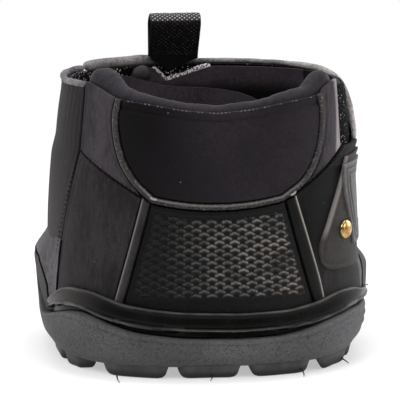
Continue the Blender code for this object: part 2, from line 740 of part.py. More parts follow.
def roll_centre(turn):
    """Centre of the collar roll, tucked in behind the upper's top edge."""
    radius = ROLL_RADIUS * roll_swell(turn)
    sink = ROLL_SINK * (1.0 - (turn / ROLL_END_ANGLE) ** 2)
    return skin(HEEL_ANGLE + turn, collar_height(turn) - sink, -(PANEL_THICKNESS + LAYER_GAP + radius))


LINER_OUT = -(PANEL_THICKNESS + LAYER_GAP)
LINER_DROP = ROLL_RADIUS * (1 + ROLL_END_SWELL) + LAYER_GAP
heel_liner = layer(
    "heel_liner", LINING,
    patch(foot_run(-LINER_END_ANGLE, LINER_END_ANGLE),
          collar_line(-LINER_END_ANGLE, LINER_END_ANGLE, 15, LINER_DROP),
          line(flat(HEEL_ANGLE - LINER_END_ANGLE, UPPER_FOOT_HEIGHT),
               flat(HEEL_ANGLE - LINER_END_ANGLE, collar_height(LINER_END_ANGLE) - LINER_DROP)),
          line(flat(HEEL_ANGLE + LINER_END_ANGLE, UPPER_FOOT_HEIGHT),
               flat(HEEL_ANGLE + LINER_END_ANGLE, collar_height(LINER_END_ANGLE) - LINER_DROP))),
    16, 5, LINER_OUT, LINER_THICKNESS)

ROLL_TURNS = np.linspace(-ROLL_END_ANGLE, ROLL_END_ANGLE, 21)
tube("collar_roll", SMOOTH_LEATHER, [roll_centre(t) for t in ROLL_TURNS], ROLL_RADIUS,
     [roll_swell(t) for t in ROLL_TURNS])


# Heel rand: a moulded band round the upper's foot, above the rim
def rand_edge(lift):
    """An edge of the rand, a lift above the sole's rim."""
    turns = np.linspace(-RAND_END_ANGLE, RAND_END_ANGLE, 21)
    return line(*[flat(HEEL_ANGLE + t, rim_height(HEEL_ANGLE + t) + lift) for t in turns])


RAND_FOOT = rand_edge(RAND_CLEARANCE)
RAND_HEAD = rand_edge(RAND_CLEARANCE + RAND_HEIGHT)
RAND_OUT = BINDING_STAND + LAYER_GAP + RAND_THICKNESS
panel(
    "heel_rand", BLACK_RUBBER,
    patch(RAND_FOOT, RAND_HEAD, line(RAND_FOOT[0], RAND_HEAD[0]), line(RAND_FOOT[-1], RAND_HEAD[-1])),
    22, 1, RAND_OUT, RAND_THICKNESS)


# Left vamp with its pile lining and top binding; right vamp set back under the flaps, with its loop field
LEFT_TURN = HEEL_ANGLE - LEFT_HINGE_ANGLE
RIGHT_TURN = 360.0 + RIGHT_HINGE_ANGLE - HEEL_ANGLE
BINDING_DROP = 2 * EDGE_BINDING_RADIUS + LAYER_GAP
BINDING_START_TURN = SIDE_SEAM_HEAD_ANGLE + 2 * SEAM_ANGLE
PILE_OUT = -(FLAP_THICKNESS + LAYER_GAP + PILE_THICKNESS + LAYER_GAP)
RECESS_OUT = PILE_OUT - PILE_THICKNESS - GAP
RECESS_IN = RECESS_OUT - VAMP_THICKNESS
VAMP_LINING_THICKNESS = -RECESS_IN - PANEL_THICKNESS - LAYER_GAP
VAMP_LINING_TURN = LINER_END_ANGLE + LINING_ANGLE


def upright_patch(start_foot, start_head, end, foot, drop, steps=8):
    """A patch from a seam that leans below the wings to an upright one, up to the collar line less a drop."""
    low = line(*[flat(HEEL_ANGLE + t, foot) for t in np.linspace(start_foot, end, steps + 1)])
    top = collar_line(start_head, end, steps + 1, drop)
    return patch(low, top, line(low[0], flat(HEEL_ANGLE + start_head, WING_FOOT_HEIGHT), top[0]),
                 line(low[-1], top[-1]))


panel(
    "left_vamp", LEATHER,
    upright_patch(SIDE_SEAM_FOOT_ANGLE + SEAM_ANGLE, SIDE_SEAM_HEAD_ANGLE + SEAM_ANGLE,
                  LEFT_TURN - SEAM_ANGLE, UPPER_FOOT_HEIGHT, BINDING_DROP),
    8, 9, 0.0, PANEL_THICKNESS, True)
layer(
    "left_vamp_pile", PILE,
    upright_patch(VAMP_LINING_TURN, VAMP_LINING_TURN, LEFT_TURN - LINING_ANGLE,
                  UPPER_FOOT_HEIGHT, BINDING_DROP),
    8, 9, LINER_OUT, VAMP_LINING_THICKNESS, True)


LEFT_BINDING_TURNS = np.linspace(LEFT_TURN - SEAM_ANGLE, BINDING_START_TURN, 15)
tube(
    "left_vamp_binding", TRIM,
    [skin(HEEL_ANGLE - t, collar_height(t) - EDGE_BINDING_RADIUS, -PANEL_THICKNESS / 2)
     for t in LEFT_BINDING_TURNS],
    EDGE_BINDING_RADIUS)

layer(
    "right_vamp", LEATHER,
    upright_patch(VAMP_LINING_TURN, VAMP_LINING_TURN, RIGHT_TURN - SEAM_ANGLE,
                  UPPER_FOOT_HEIGHT, BINDING_DROP),
    9, 5, RECESS_OUT, VAMP_THICKNESS)
FIELD_START = SIDE_SEAM_HEAD_ANGLE + TRIM_ANGLE
layer(
    "right_loop_field", PILE,
    upright_patch(FIELD_START, FIELD_START, RIGHT_TURN - 2 * SEAM_ANGLE,
                  FLAP_FOOT_HEIGHT, BINDING_DROP + SEAM_GAP),
    8, 4, PILE_OUT, PILE_THICKNESS)


# Toe box behind the toe wall, with its lining
def level_patch(start, end, foot, head, steps):
    """A patch between two angles and two heights."""
    low = line(*[flat(a, foot) for a in np.linspace(start, end, steps + 1)])
    top = line(*[flat(a, head) for a in np.linspace(start, end, steps + 1)])
    return patch(low, top, line(low[0], top[0]), line(low[-1], top[-1]))


layer(
    "toe_box", LEATHER,
    level_patch(OVERLAY_FRONT_ANGLE - 360.0 + SEAM_ANGLE, LEFT_HINGE_ANGLE - SEAM_ANGLE,
                UPPER_FOOT_HEIGHT, TOE_BOX_HEIGHT, 24),
    24, 2, 0.0, PANEL_THICKNESS)
layer(
    "toe_lining", LINING,
    level_patch(RIGHT_HINGE_ANGLE + LINING_ANGLE, LEFT_HINGE_ANGLE - LINING_ANGLE,
                UPPER_FOOT_HEIGHT, TOE_BOX_HEIGHT, 18),
    18, 2, LINER_OUT, VAMP_LINING_THICKNESS)


# Outer flap: hinged on the left, it wraps the toe and ends on the right side
outer_hinge = hinge("outer_flap_hinge", LEFT_HINGE_ANGLE, AXIS_STAND)


def flap_head(drop=0.0):
    """The outer flap's top edge, which falls away towards its end on the right side."""
    rise = FLAP_CREST_HEIGHT - FLAP_SIDE_HEIGHT
    heights = [FLAP_SIDE_HEIGHT + share * rise - drop for share in FLAP_HEAD_SHARES]
    angles = (*FLAP_HEAD_ANGLES, LEFT_HINGE_ANGLE - SEAM_ANGLE)
    return smooth(line(*[flat(a, h) for a, h in zip(angles, heights)]), 6)


def flap_patch(inset, drop):
    """The outer flap's outline, drawn in at its end and lowered at its head."""
    head = flap_head(drop)
    head[0, 0] += inset
    angles = np.linspace(FLAP_END_ANGLE, LEFT_HINGE_ANGLE - SEAM_ANGLE, 35)
    foot = line(*[flat(a, FLAP_FOOT_HEIGHT) for a in angles])
    foot[0, 0] += inset
    return patch(foot, head, line(foot[0], head[0]), line(foot[-1], head[-1]))


panel("outer_flap", LEATHER, flap_patch(0.0, 0.0), 26, 4, 0.0, FLAP_THICKNESS, parent=outer_hinge)
layer("outer_flap_pile", PILE, flap_patch(2 * SEAM_GAP, SEAM_GAP), 26, 4,
      -FLAP_THICKNESS - LAYER_GAP, PILE_THICKNESS, parent=outer_hinge)
FLAP_EDGE = even(beside(flap_head(), EDGE_BINDING_RADIUS + SEAM_GAP), 30)[1:]
tube(
    "outer_flap_binding", TRIM,
    [skin(flat_angle(d), h, -FLAP_THICKNESS / 2) for d, h in FLAP_EDGE],
    EDGE_BINDING_RADIUS, parent=outer_hinge)


# Inner right flap: hinged on the right under the outer flap, with loop pile on its outer face
right_hinge = hinge("inner_flap_hinge", RIGHT_HINGE_ANGLE, PILE_OUT + AXIS_STAND)


def inner_head(start, end, height, steps=14):
    """The inner flap's top edge, with a notch for the pull loop's tail."""
    places = []
    for angle in np.linspace(start, end, steps + 1):
        dip = max(0.0, 1.0 - abs(angle - LOOP_ANGLE) / NOTCH_HALF_ANGLE)
        places.append(flat(angle, height - NOTCH_DEPTH * dip))
    return line(*places)


def inner_patch(start, end, drop):
    """The inner right flap's outline."""
    head = inner_head(start, end, INNER_HEAD_HEIGHT - drop)
    foot = line(*[flat(a, FLAP_FOOT_HEIGHT) for a in np.linspace(start, end, 15)])
    return patch(foot, head, line(foot[0], head[0]), line(foot[-1], head[-1]))


layer(
    "inner_flap_right", LINING,
    inner_patch(RIGHT_HINGE_ANGLE + SEAM_ANGLE, INNER_FLAP_END_ANGLE, 0.0),
    14, 5, RECESS_OUT, VAMP_THICKNESS, parent=right_hinge)
layer(
    "inner_flap_pile", PILE,
    inner_patch(RIGHT_HINGE_ANGLE + 2 * SEAM_ANGLE, INNER_FLAP_END_ANGLE - SEAM_ANGLE, SEAM_GAP),
    14, 5, PILE_OUT, PILE_THICKNESS, parent=right_hinge)


# Tongue: a padded inner flap hinged on the left, innermost of the three
TONGUE_OUT = RECESS_IN - LAYER_GAP
left_hinge = hinge("tongue_hinge", LEFT_HINGE_ANGLE, TONGUE_OUT + LAYER_GAP)


def tongue_patch():
    """The tongue's outline: its head slopes down towards its free end."""
    angles = np.linspace(TONGUE_END_ANGLE, LEFT_HINGE_ANGLE - 2 * SEAM_ANGLE, 13)
    shares = (angles - TONGUE_END_ANGLE) / (LEFT_HINGE_ANGLE - TONGUE_END_ANGLE)
    heights = TONGUE_END_HEIGHT + shares * (TONGUE_ROOT_HEIGHT - TONGUE_END_HEIGHT)
    head = line(*[flat(a, h) for a, h in zip(angles, heights)])
    foot = line(*[flat(a, FLAP_FOOT_HEIGHT) for a in angles])
    return patch(foot, head, line(foot[0], head[0]), line(foot[-1], head[-1]))


layer("tongue", LINING, tongue_patch(), 12, 5, TONGUE_OUT, TONGUE_THICKNESS, parent=left_hinge)


# Side overlay over the right quarter
OVERLAY_OUT = GAP + OVERLAY_THICKNESS
OVERLAY_REAR_ANGLES = (308.0, 307.2, 310.0, 315.0, 323.0)
OVERLAY_REAR_SHARES = (0.08, 0.24, 0.42, 0.66, 1.0)
OVERLAY_FOOT_ANGLES = (308.0, 310.5, 316.0, 330.0)
OVERLAY_FOOT_SHARES = (0.08, 0.02, 0.0, 0.0)


def overlay_place(angle, share):
    """A place on the overlay, by its angle and a share of its height."""
    return flat(angle, OVERLAY_FOOT_HEIGHT + share * (OVERLAY_HEAD_HEIGHT - OVERLAY_FOOT_HEIGHT))


overlay_end = OVERLAY_FRONT_ANGLE - SEAM_ANGLE
rear_places = [overlay_place(*p) for p in zip(OVERLAY_REAR_ANGLES, OVERLAY_REAR_SHARES)]
foot_places = [overlay_place(*p) for p in zip(OVERLAY_FOOT_ANGLES, OVERLAY_FOOT_SHARES)]
overlay_rear = smooth(line(*rear_places), 3)
overlay_foot = smooth(line(*foot_places, overlay_place(overlay_end, 0.0)), 3)
overlay_front = line(overlay_foot[-1], overlay_place(overlay_end, 1.0))
side_overlay = panel(
    "side_overlay", LEATHER,
    patch(overlay_foot, line(overlay_rear[-1], overlay_front[-1]), overlay_rear, overlay_front),
    9, 6, OVERLAY_OUT, OVERLAY_THICKNESS)


# Moulded end tab on the outer flap: it reaches back from the flap's end, over the overlay
TAB_REAR_ANGLES = (-34.0, -34.8, -37.0, -38.0, -37.6)
TAB_REAR_SHARES = (0.0, 0.20, 0.50, 0.75, 1.0)


def tab_place(angle, share):
    """A place on the end tab, by its angle and a share of its height."""
    rise = FLAP_SIDE_HEIGHT - FLAP_FOOT_HEIGHT - 2 * SEAM_GAP
    return flat(angle, FLAP_FOOT_HEIGHT + SEAM_GAP + share * rise)


def tab_stand(u, v):
    """The end tab's face, by shares round and up: it stands over the overlay, then steps down on the flap."""
    over = OVERLAY_OUT + END_TAB_CLEARANCE + END_TAB_THICKNESS
    return float(np.interp(u, END_TAB_STEP_SHARES, (over, GAP + END_TAB_THICKNESS)))


tab_rear = smooth(line(*[tab_place(*p) for p in zip(TAB_REAR_ANGLES, TAB_REAR_SHARES)]), 3)
tab_front = line(tab_place(END_TAB_FRONT_ANGLE, 0.0), tab_place(END_TAB_FRONT_ANGLE, 1.0))
panel(
    "flap_end_tab", BLACK_RUBBER,
    patch(line(tab_rear[0], tab_front[0]), line(tab_rear[-1], tab_front[-1]), tab_rear, tab_front),
    8, 5, tab_stand, END_TAB_THICKNESS, parent=outer_hinge)


# Brass rivet through the overlay and the quarter, closed on a burr inside
def at_rivet(thing):
    """Set a turned piece on the rivet's own axis, with its origin on the overlay's face."""
    seat = skin(RIVET_ANGLE, RIVET_HEIGHT, OVERLAY_OUT)
    out = (skin(RIVET_ANGLE, RIVET_HEIGHT, OVERLAY_OUT + RIVET_RADIUS) - seat).normalized()
    thing.location = seat
    thing.rotation_mode = "QUATERNION"
    thing.rotation_quaternion = out.to_track_quat("Z", "Y")
    return thing


def turned(name, profile, closed=False):
    """A profile of radius and height, turned round its axis."""
    mesh = bpy.data.meshes.new(name)
    edges = [(i, i + 1) for i in range(len(profile) - 1)]
    if closed:
        edges.append((len(profile) - 1, 0))
    mesh.from_pydata([(radius, 0.0, height) for radius, height in profile], edges, [])
    thing = bpy.data.objects.new(name, mesh)
    screw = thing.modifiers.new("turn", "SCREW")
    screw.steps = ROUND_STEPS
    screw.render_steps = ROUND_STEPS
    screw.use_merge_vertices = True
    screw.merge_threshold = MERGE_DISTANCE
    screw.use_smooth_shade = True
    return thing


BURR_TOP = -(OVERLAY_OUT + PANEL_THICKNESS + BURR_SEAT)
BURR_FOOT = BURR_TOP - BURR_THICKNESS
BURR_BORE = SHANK_RADIUS + GAP
dome_angles = np.linspace(math.pi / 2, 0.0, 5)
dome = [(RIVET_RADIUS * math.cos(a), GAP + RIVET_DOME * math.sin(a)) for a in dome_angles]
shank = [(SHANK_RADIUS, GAP), (SHANK_RADIUS, BURR_FOOT), (0.0, BURR_FOOT)]
rivet_profile = [(0.0, dome[0][1]), *dome[1:], *shank]
burr_profile = [
    (BURR_BORE, BURR_TOP), (BURR_RADIUS, BURR_TOP), (BURR_RADIUS, BURR_FOOT), (BURR_BORE, BURR_FOOT)]
link(at_rivet(turned("rivet", rivet_profile)), BRASS)
link(at_rivet(turned("rivet_burr", burr_profile, True)), BRASS)


def round_cutter(name, radius, top, bottom):
    """A cylinder on the rivet's axis that cuts from one level down to another."""
    cage = bmesh.new()
    bmesh.ops.create_cone(cage, cap_ends=True, segments=ROUND_STEPS, radius1=radius, radius2=radius,
                          depth=top - bottom)
    bmesh.ops.translate(cage, verts=cage.verts, vec=(0.0, 0.0, (top + bottom) / 2))
    mesh = bpy.data.meshes.new(name)
    cage.to_mesh(mesh)
    cage.free()
    return at_rivet(cutter(name, mesh))


rivet_hole = round_cutter("rivet_hole", BURR_BORE, OVERRUN, BURR_TOP)
burr_pocket = round_cutter("burr_pocket", BURR_RADIUS + GAP, BURR_TOP + GAP, BURR_FOOT - SEAM_GAP)
cut(side_overlay, rivet_hole)
cut(right_quarter, rivet_hole)
cut(heel_liner, burr_pocket)


# Pull loop: its tail is sewn inside the outer flap's head, and the loop folds over the fold line
LOOP_OUT = PILE_OUT - WEBBING_THICKNESS / 2


def loop_frame():
    """Place and directions at the loop's fold line: outwards from the boot, and along the fold."""
    foot = skin(LOOP_ANGLE, LOOP_AXIS_HEIGHT, LOOP_OUT)
    outward = (skin(LOOP_ANGLE, LOOP_AXIS_HEIGHT, LOOP_OUT + LOOP_DEPTH) - foot).normalized()
    return foot, outward, Vector((0.0, 0.0, 1.0)).cross(outward)


loop_foot, loop_outward, loop_along = loop_frame()
loop_hinge = bpy.data.objects.new("pull_loop_hinge", None)
loop_turn = Matrix((loop_outward, Vector((0.0, 0.0, 1.0)), -loop_along)).transposed().to_4x4()
PARTS.objects.link(loop_hinge)
loop_hinge.parent = outer_hinge
loop_hinge.matrix_parent_inverse = outer_hinge.matrix_world.inverted()
loop_hinge.matrix_basis = Matrix.Translation(loop_foot) @ loop_turn
bpy.context.view_layer.update()


def arc(radius, middle, start, end, pieces):
    """Points of an arc seen from the loop's edge, round a point above the fold line."""
    return [(radius * math.cos(a), middle + radius * math.sin(a)) for a in np.linspace(start, end, pieces + 1)]


# Seen from its edge the loop is a teardrop: its foot is round on the fold line, and its two plies part above
loop_middle = LOOP_HEIGHT - LOOP_DEPTH / 2
loop_outside = arc(LOOP_DEPTH / 2, loop_middle, 0.0, math.pi, 12)
loop_outside += arc(WEBBING_THICKNESS / 2, 0.0, math.pi, 2 * math.pi, 6)
loop_inside = arc(LOOP_DEPTH / 2 - WEBBING_THICKNESS, loop_middle, 0.0, math.pi, 12)
loop_inside.append((0.0, LOOP_SEAM_HEIGHT))
strip = bpy.data.curves.new("pull_loop", "CURVE")
strip.dimensions = "2D"
strip.fill_mode = "BOTH"
strip.extrude = LOOP_WIDTH / 2
for outline in (loop_outside, loop_inside):
    spline = strip.splines.new("POLY")
    spline.points.add(len(outline) - 1)
    spline.use_cyclic_u = True
    for i, (across, up) in enumerate(outline):
        spline.points[i].co = (across, up, 0.0, 1.0)
pull_loop = bpy.data.objects.new("pull_loop", strip)
link(pull_loop, WEBBING)
pull_loop.parent = loop_hinge


def tail_patch():
    """The loop's sewn tail, which narrows down into the inner flap's notch."""
    half = flat_angle(LOOP_WIDTH / 2) * TAIL_SPREAD
    top = LOOP_AXIS_HEIGHT - WEBBING_THICKNESS / 2 - GAP
    head = line(*[flat(LOOP_ANGLE + half * s, top) for s, _ in TAIL_FOOT_SHARES])
    foot = line(*[flat(LOOP_ANGLE + half * s, top - LOOP_TAIL_LENGTH * d) for s, d in TAIL_FOOT_SHARES])
    return patch(foot, head, line(foot[0], head[0]), line(foot[-1], head[-1]))


layer("pull_loop_tail", WEBBING, tail_patch(), 4, 2, PILE_OUT, WEBBING_THICKNESS, parent=outer_hinge)
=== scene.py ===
"""Looks of a horse hoof boot: a moulded rubber cup under a sewn leather upper with three front flaps.

X runs to the boot's right as seen from behind, Y forwards to the toe, Z up. Lengths are metres.
Angles round the boot are degrees: 0 the right side, 90 the toe, 180 the left side, 270 the heel.
"""
import math

import bpy
import numpy as np
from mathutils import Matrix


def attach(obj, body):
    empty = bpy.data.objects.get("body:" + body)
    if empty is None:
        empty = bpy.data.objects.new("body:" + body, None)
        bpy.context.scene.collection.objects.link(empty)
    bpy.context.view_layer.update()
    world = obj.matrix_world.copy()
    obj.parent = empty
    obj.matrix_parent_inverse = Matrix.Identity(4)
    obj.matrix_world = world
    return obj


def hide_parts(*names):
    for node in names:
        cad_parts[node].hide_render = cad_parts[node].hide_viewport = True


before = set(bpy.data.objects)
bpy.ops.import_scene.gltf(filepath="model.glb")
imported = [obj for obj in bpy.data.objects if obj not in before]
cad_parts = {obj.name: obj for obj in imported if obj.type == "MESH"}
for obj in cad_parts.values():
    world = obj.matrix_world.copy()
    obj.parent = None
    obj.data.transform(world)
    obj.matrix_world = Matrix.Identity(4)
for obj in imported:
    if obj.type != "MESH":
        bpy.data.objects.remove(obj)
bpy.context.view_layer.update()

# Sole cup: one moulding of matte grey rubber, with a bulging side, a thin lip behind and a high wall round
# the toe. Its skin is finely pebbled by the mould, and a shallow line runs under the lip.
HEEL = 270.0
LUG_DEPTH, CORNER, FOOT_INSET = 0.0050, 0.0022, 0.0012
LIP_ROUND, INNER_ROUND, CUP_GAP, RIDGE_PITCH = 0.0012, 0.0010, 0.0007, 0.0034
LEDGE, WELL = 0.0165, 0.0110
WALL_START, WALL_RUN, LEFT_WALL_RUN = 78.0, 6.0, 14.0


def oval(angle, half_width, toe_reach, heel_reach, heel_power):
    """Oval with squared corners: |x/a|^p + |y/b|^p = 1, with its own reach b and power p before and behind."""
    across, along = np.cos(np.radians(angle)), np.sin(np.radians(angle))
    reach = np.where(along > 0, toe_reach, heel_reach)
    power = np.where(along > 0, 2.2, heel_power)
    radius = (np.abs(across / half_width) ** power + np.abs(along / reach) ** power) ** (-1 / power)
    x, y = radius * across, radius * along
    out_x = np.sign(across) * np.abs(x / half_width) ** (power - 1) / half_width
    out_y = np.sign(along) * np.abs(y / reach) ** (power - 1) / reach
    length = np.hypot(out_x, out_y)
    return x, y, out_x / length, out_y / length


def upper_skin(angle, height, out=0.0):
    """Skin of the upper: the oval's sizes are parabolas of height through foot, bend and head, moved out level.

    The closure on the right presses it in at mid height and stands off at the rim.
    """
    angle, height, out = np.broadcast_arrays(np.asarray(angle, float), height, out)
    low, mid, top = 0.016, 0.076, 0.128
    foot = (height - mid) * (height - top) / ((low - mid) * (low - top))
    bend = (height - low) * (height - top) / ((mid - low) * (mid - top))
    head = (height - low) * (height - mid) / ((top - low) * (top - mid))
    rightwards = np.cos(np.radians(angle)) > 0
    ahead = (angle + 90.0) % 360.0 - 90.0
    closure = ease((ahead + 38.0) / 20.0) * ease((70.0 - ahead) / 40.0)
    rim_zone = ease((height - 0.088) / 0.010) * ease((0.126 - height) / 0.010)
    pressed = 0.0026 * closure * ease((height - 0.036) / 0.012) * ease((0.096 - height) / 0.016)
    pressed = pressed + rim_zone * (0.0012 * bell(ahead, 178.0, 30.0) - 0.0016 * closure)
    x, y, out_x, out_y = oval(angle, 0.0700 * foot + np.where(rightwards, 0.0683, 0.0695) * bend
                              + np.where(rightwards, 0.0641, 0.0633) * head - pressed,
                              0.0710 * foot + 0.0600 * bend + 0.0490 * head,
                              0.0700 * foot + 0.0610 * bend + 0.0575 * head, 2.6)
    return np.stack((x + out_x * out, y + out_y * out, height), -1)


def sole_skin(angle, height, out=0.0):
    """Side of the sole: sizes swell as 1 - (1 - t)^2 from the tread to the lip, then flare up the toe wall."""
    angle, height, out = np.broadcast_arrays(np.asarray(angle, float), height, out)
    rise = np.clip((height - LUG_DEPTH) / 0.0152, 0.0, 1.0)
    bulge = 1.0 - (1.0 - rise) ** 2
    flare = np.clip(height - 0.0202, 0.0, None) / 0.0268
    rightwards = np.cos(np.radians(angle)) > 0
    half_width = np.where(rightwards, 0.0669 + 0.0044 * bulge, 0.0708 + 0.0044 * bulge + 0.0020 * flare)
    x, y, out_x, out_y = oval(angle, half_width,
                              0.0700 + 0.0052 * bulge - 0.0017 * flare, 0.0705 + 0.0043 * bulge, 2.8)
    return np.stack((x + out_x * out, y + out_y * out, height), -1)


def turn_from_heel(angle):
    """Degrees from the heel's middle, on either side: |angle - 270| wrapped to 180."""
    return np.abs((np.asarray(angle, float) - HEEL + 180.0) % 360.0 - 180.0)


def ease(share):
    """Smooth step 3s^2 - 2s^3 of a share held between 0 and 1."""
    share = np.clip(share, 0.0, 1.0)
    return share * share * (3.0 - 2.0 * share)


def bell(value, middle, width):
    """1 at the middle and fading to both sides: exp(-((value - middle) / width)^2)."""
    return np.exp(-((value - middle) / width) ** 2)


def smoothed(angle, turns, heights, span=3.0):
    """Heights from a table of turns from the heel's middle, leftwards below 0, averaged over a span each way."""
    turn = (np.asarray(angle, float) - HEEL + 180.0) % 360.0 - 180.0
    return np.interp(turn[..., None] + np.linspace(-span, span, 7), turns, heights).mean(-1)


def lip_height(angle):
    """Top of the cup behind, in metres: lowest at the heel, highest just behind both sides."""
    return smoothed(angle, (-80, -71, -59, -52, -45, -40, -30, -14, 6, 22, 30, 36, 43, 50, 60, 80),
                    (0.0190, 0.0207, 0.0249, 0.0267, 0.0262, 0.0240, 0.0206, 0.0186, 0.0178, 0.0186, 0.0204, 0.0222,
                     0.0240, 0.0252, 0.0252, 0.0250))


def cup_height(angle):
    """Top of the cup: the lip behind, a smooth step at the sides, then the toe wall, lower at its right end."""
    turn = turn_from_heel(angle)
    ahead = (np.asarray(angle, float) + 90.0) % 360.0 - 90.0
    crest = 0.047 + 0.003 * np.clip((turn - 90.0) / 90.0, 0.0, 1.0) - 0.012 * np.interp(
        ahead, (-6, 0, 18, 35, 60, 120, 150, 156, 168, 180, 192), (1, 1, 0.86, 0.45, 0, 0, 0.07, 0.2, 0.35, 0.28, 0.25))
    run = np.where(ahead > 90.0, LEFT_WALL_RUN, WALL_RUN)
    return lip_height(angle) + (crest - lip_height(angle)) * ease((turn - WALL_START) / run)


def make_piece(name, points, quads, caps=(), uv=None, **marks):
    """Mesh from an array of points, quads and end caps, turned outwards by the sign of its volume."""
    points = np.asarray(points, float).reshape(-1, 3)
    a, b, c, d = (points[quads[:, k]] - points.mean(0) for k in range(4))
    volume = (a * np.cross(b, c)).sum() + (a * np.cross(c, d)).sum()
    faces = [quads if volume > 0 else quads[:, ::-1]] + [cap if volume > 0 else cap[:, ::-1] for cap in caps]
    corners = np.concatenate([f.ravel() for f in faces])
    sizes = np.concatenate([np.full(len(f), f.shape[1]) for f in faces])
    mesh = bpy.data.meshes.new(name)
    mesh.vertices.add(len(points))
    mesh.vertices.foreach_set("co", points.ravel())
    mesh.loops.add(len(corners))
    mesh.loops.foreach_set("vertex_index", corners.astype(np.int32))
    mesh.polygons.add(len(sizes))
    mesh.polygons.foreach_set("loop_start", (np.cumsum(sizes) - sizes).astype(np.int32))
    mesh.update(calc_edges=True)
    if uv is not None:
        mesh.uv_layers.new(name="UVMap").data.foreach_set("uv", np.asarray(uv).reshape(-1, 2)[corners].ravel())
    for mark, value in marks.items():
        mesh.attributes.new(mark, "FLOAT", "POINT").data.foreach_set("value", np.asarray(value, float).ravel())
    mesh.shade_smooth()
    mesh.set_sharp_from_angle(angle=math.radians(50.0))
    piece = bpy.data.objects.new(name, mesh)
    bpy.context.scene.collection.objects.link(piece)
    return piece


def grid_quads(rows, columns, wrap_rows=False, wrap_columns=False):
    """Quads of a grid of points, row by row, closed round its rows or columns where they wrap."""
    i = np.arange(rows if wrap_rows else rows - 1)[:, None]
    j = np.arange(columns if wrap_columns else columns - 1)[None, :]
    near, far = i % rows, (i + 1) % rows
    left, right = j % columns, (j + 1) % columns
    return np.stack([np.broadcast_to(k, (i.size, j.size)) for k in (
        near * columns + left, far * columns + left, far * columns + right, near * columns + right)], -1).reshape(-1, 4)


def tube_piece(name, rings, uv=None, **marks):
    """Closed piece from rings of points, one after another, with a flat cap on the first and the last."""
    count, around = rings.shape[:2]
    first = np.arange(around)[None, :]
    last = (count - 1) * around + np.arange(around)[None, ::-1]
    return make_piece(name, rings, grid_quads(count, around, False, True), (first, last), uv, **marks)


def add(near, kind, sockets=None, **settings):
    """A shader node in the tree of a node or socket, whose own sockets take a plain value or a node's output."""
    tree = near.id_data
    made = tree.nodes.new("ShaderNode" + kind)
    for key, value in settings.items():
        setattr(made, key, value)
    for key, value in (sockets or {}).items():
        if isinstance(value, bpy.types.NodeSocket):
            tree.links.new(value, made.inputs[key])
        else:
            made.inputs[key].default_value = value
    return made


def mixed(factor, first, second, way="MIX"):
    """Colour mixed from two colours by a factor."""
    return add(factor, "Mix", {0: factor, 6: first, 7: second}, data_type="RGBA", blend_type=way).outputs[2]


def ramp(value, low, high, dark=0.0, light=1.0):
    """Value brought from between low and high to between dark and light, and held there."""
    return add(value, "MapRange", {0: value, 1: low, 2: high, 3: dark, 4: light},
               interpolation_type="SMOOTHSTEP").outputs[0]


def reckon(operation, first, second=0.0):
    """One sum on two values, of which the first is a node's output."""
    return add(first, "Math", {0: first, 1: second}, operation=operation).outputs[0]


def bump(height, distance, strength=1.0, normal=None):
    """Normal of a surface raised by a height of 0 to 1 times a distance."""
    sockets = {"Height": height, "Distance": distance, "Strength": strength}
    if normal is not None:
        sockets["Normal"] = normal
    return add(height, "Bump", sockets).outputs[0]


def flecked(vector, scale, **settings):
    """Value of a noise of small flecks."""
    return add(vector, "TexNoise", {"Vector": vector, "Scale": scale, "Detail": 2.0, **settings}).outputs["Fac"]


def part(vector, axis):
    """One coordinate of a place: 0 for x, 1 for y, 2 for z."""
    return add(vector, "SeparateXYZ", {0: vector}).outputs[axis]


def effect(name, inputs, outputs):
    """An empty shader node group with named inputs and outputs."""
    group = bpy.data.node_groups.new(name, "ShaderNodeTree")
    for title, kind, value in inputs:
        socket = group.interface.new_socket(name=title, in_out="INPUT", socket_type="NodeSocket" + kind)
        if value is not None:
            socket.default_value = value
    for title, kind in outputs:
        group.interface.new_socket(name=title, in_out="OUTPUT", socket_type="NodeSocket" + kind)
    return group, group.nodes.new("NodeGroupInput").outputs, group.nodes.new("NodeGroupOutput").inputs


def use(group, vector, **sockets):
    """Outputs of a node group placed on a vector in a material, with its own values."""
    return add(vector, "Group", {"Vector": vector, **sockets}, node_tree=group).outputs


def tone(red, green, blue):
    """A finish's colour from its screen values of 0 to 255, as linear light."""
    return tuple((((c / 255) + 0.055) / 1.055) ** 2.4 for c in (red, green, blue)) + (1.0,)


def finish(name, colour, roughness, specular=0.3, metallic=0.0, sheen=0.0):
    """A material with its constant values on the shader, then its shader and its Object coordinates."""
    material = bpy.data.materials.new(name)
    material.use_nodes = True
    shader = material.node_tree.nodes["Principled BSDF"]
    for socket, value in (("Base Color", colour), ("Roughness", roughness), ("Specular IOR Level", specular),
                          ("Metallic", metallic), ("Sheen Weight", sheen)):
        shader.inputs[socket].default_value = value
    return material, shader, add(shader, "TexCoord").outputs["Object"]


def paint(shader, colour=None, roughness=None, normal=None):
    """Link what is given to the shader's colour, roughness and normal."""
    for socket, value in (("Base Color", colour), ("Roughness", roughness), ("Normal", normal)):
        if value is not None:
            shader.id_data.links.new(value, shader.inputs[socket])


def fit(piece, material, slot, body, *nodes):
    """Give a piece its material, its body and the CAD nodes that it stands for; the slot is not used."""
    piece.data.materials.append(material)
    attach(piece, body)
    if nodes:
        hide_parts(*nodes)
    return piece


# Cloudy change of tone over a surface: two noises, one of patches and one of fine flecks.
cloud, given, gives = effect("cloudy_tone", [
    ("Vector", "Vector", None), ("Patches", "Float", 30.0), ("Flecks", "Float", 900.0), ("Share", "Float", 0.3)],
    [("Value", "Float")])
patches = add(cloud, "TexNoise", {"Vector": given["Vector"], "Scale": given["Patches"], "Detail": 4.0})
flecks = add(cloud, "TexNoise", {"Vector": given["Vector"], "Scale": given["Flecks"], "Detail": 2.0})
cloud.links.new(add(cloud, "Mix", {0: given["Share"], 2: patches.outputs["Fac"], 3: flecks.outputs["Fac"]}).outputs[0],
                gives["Value"])

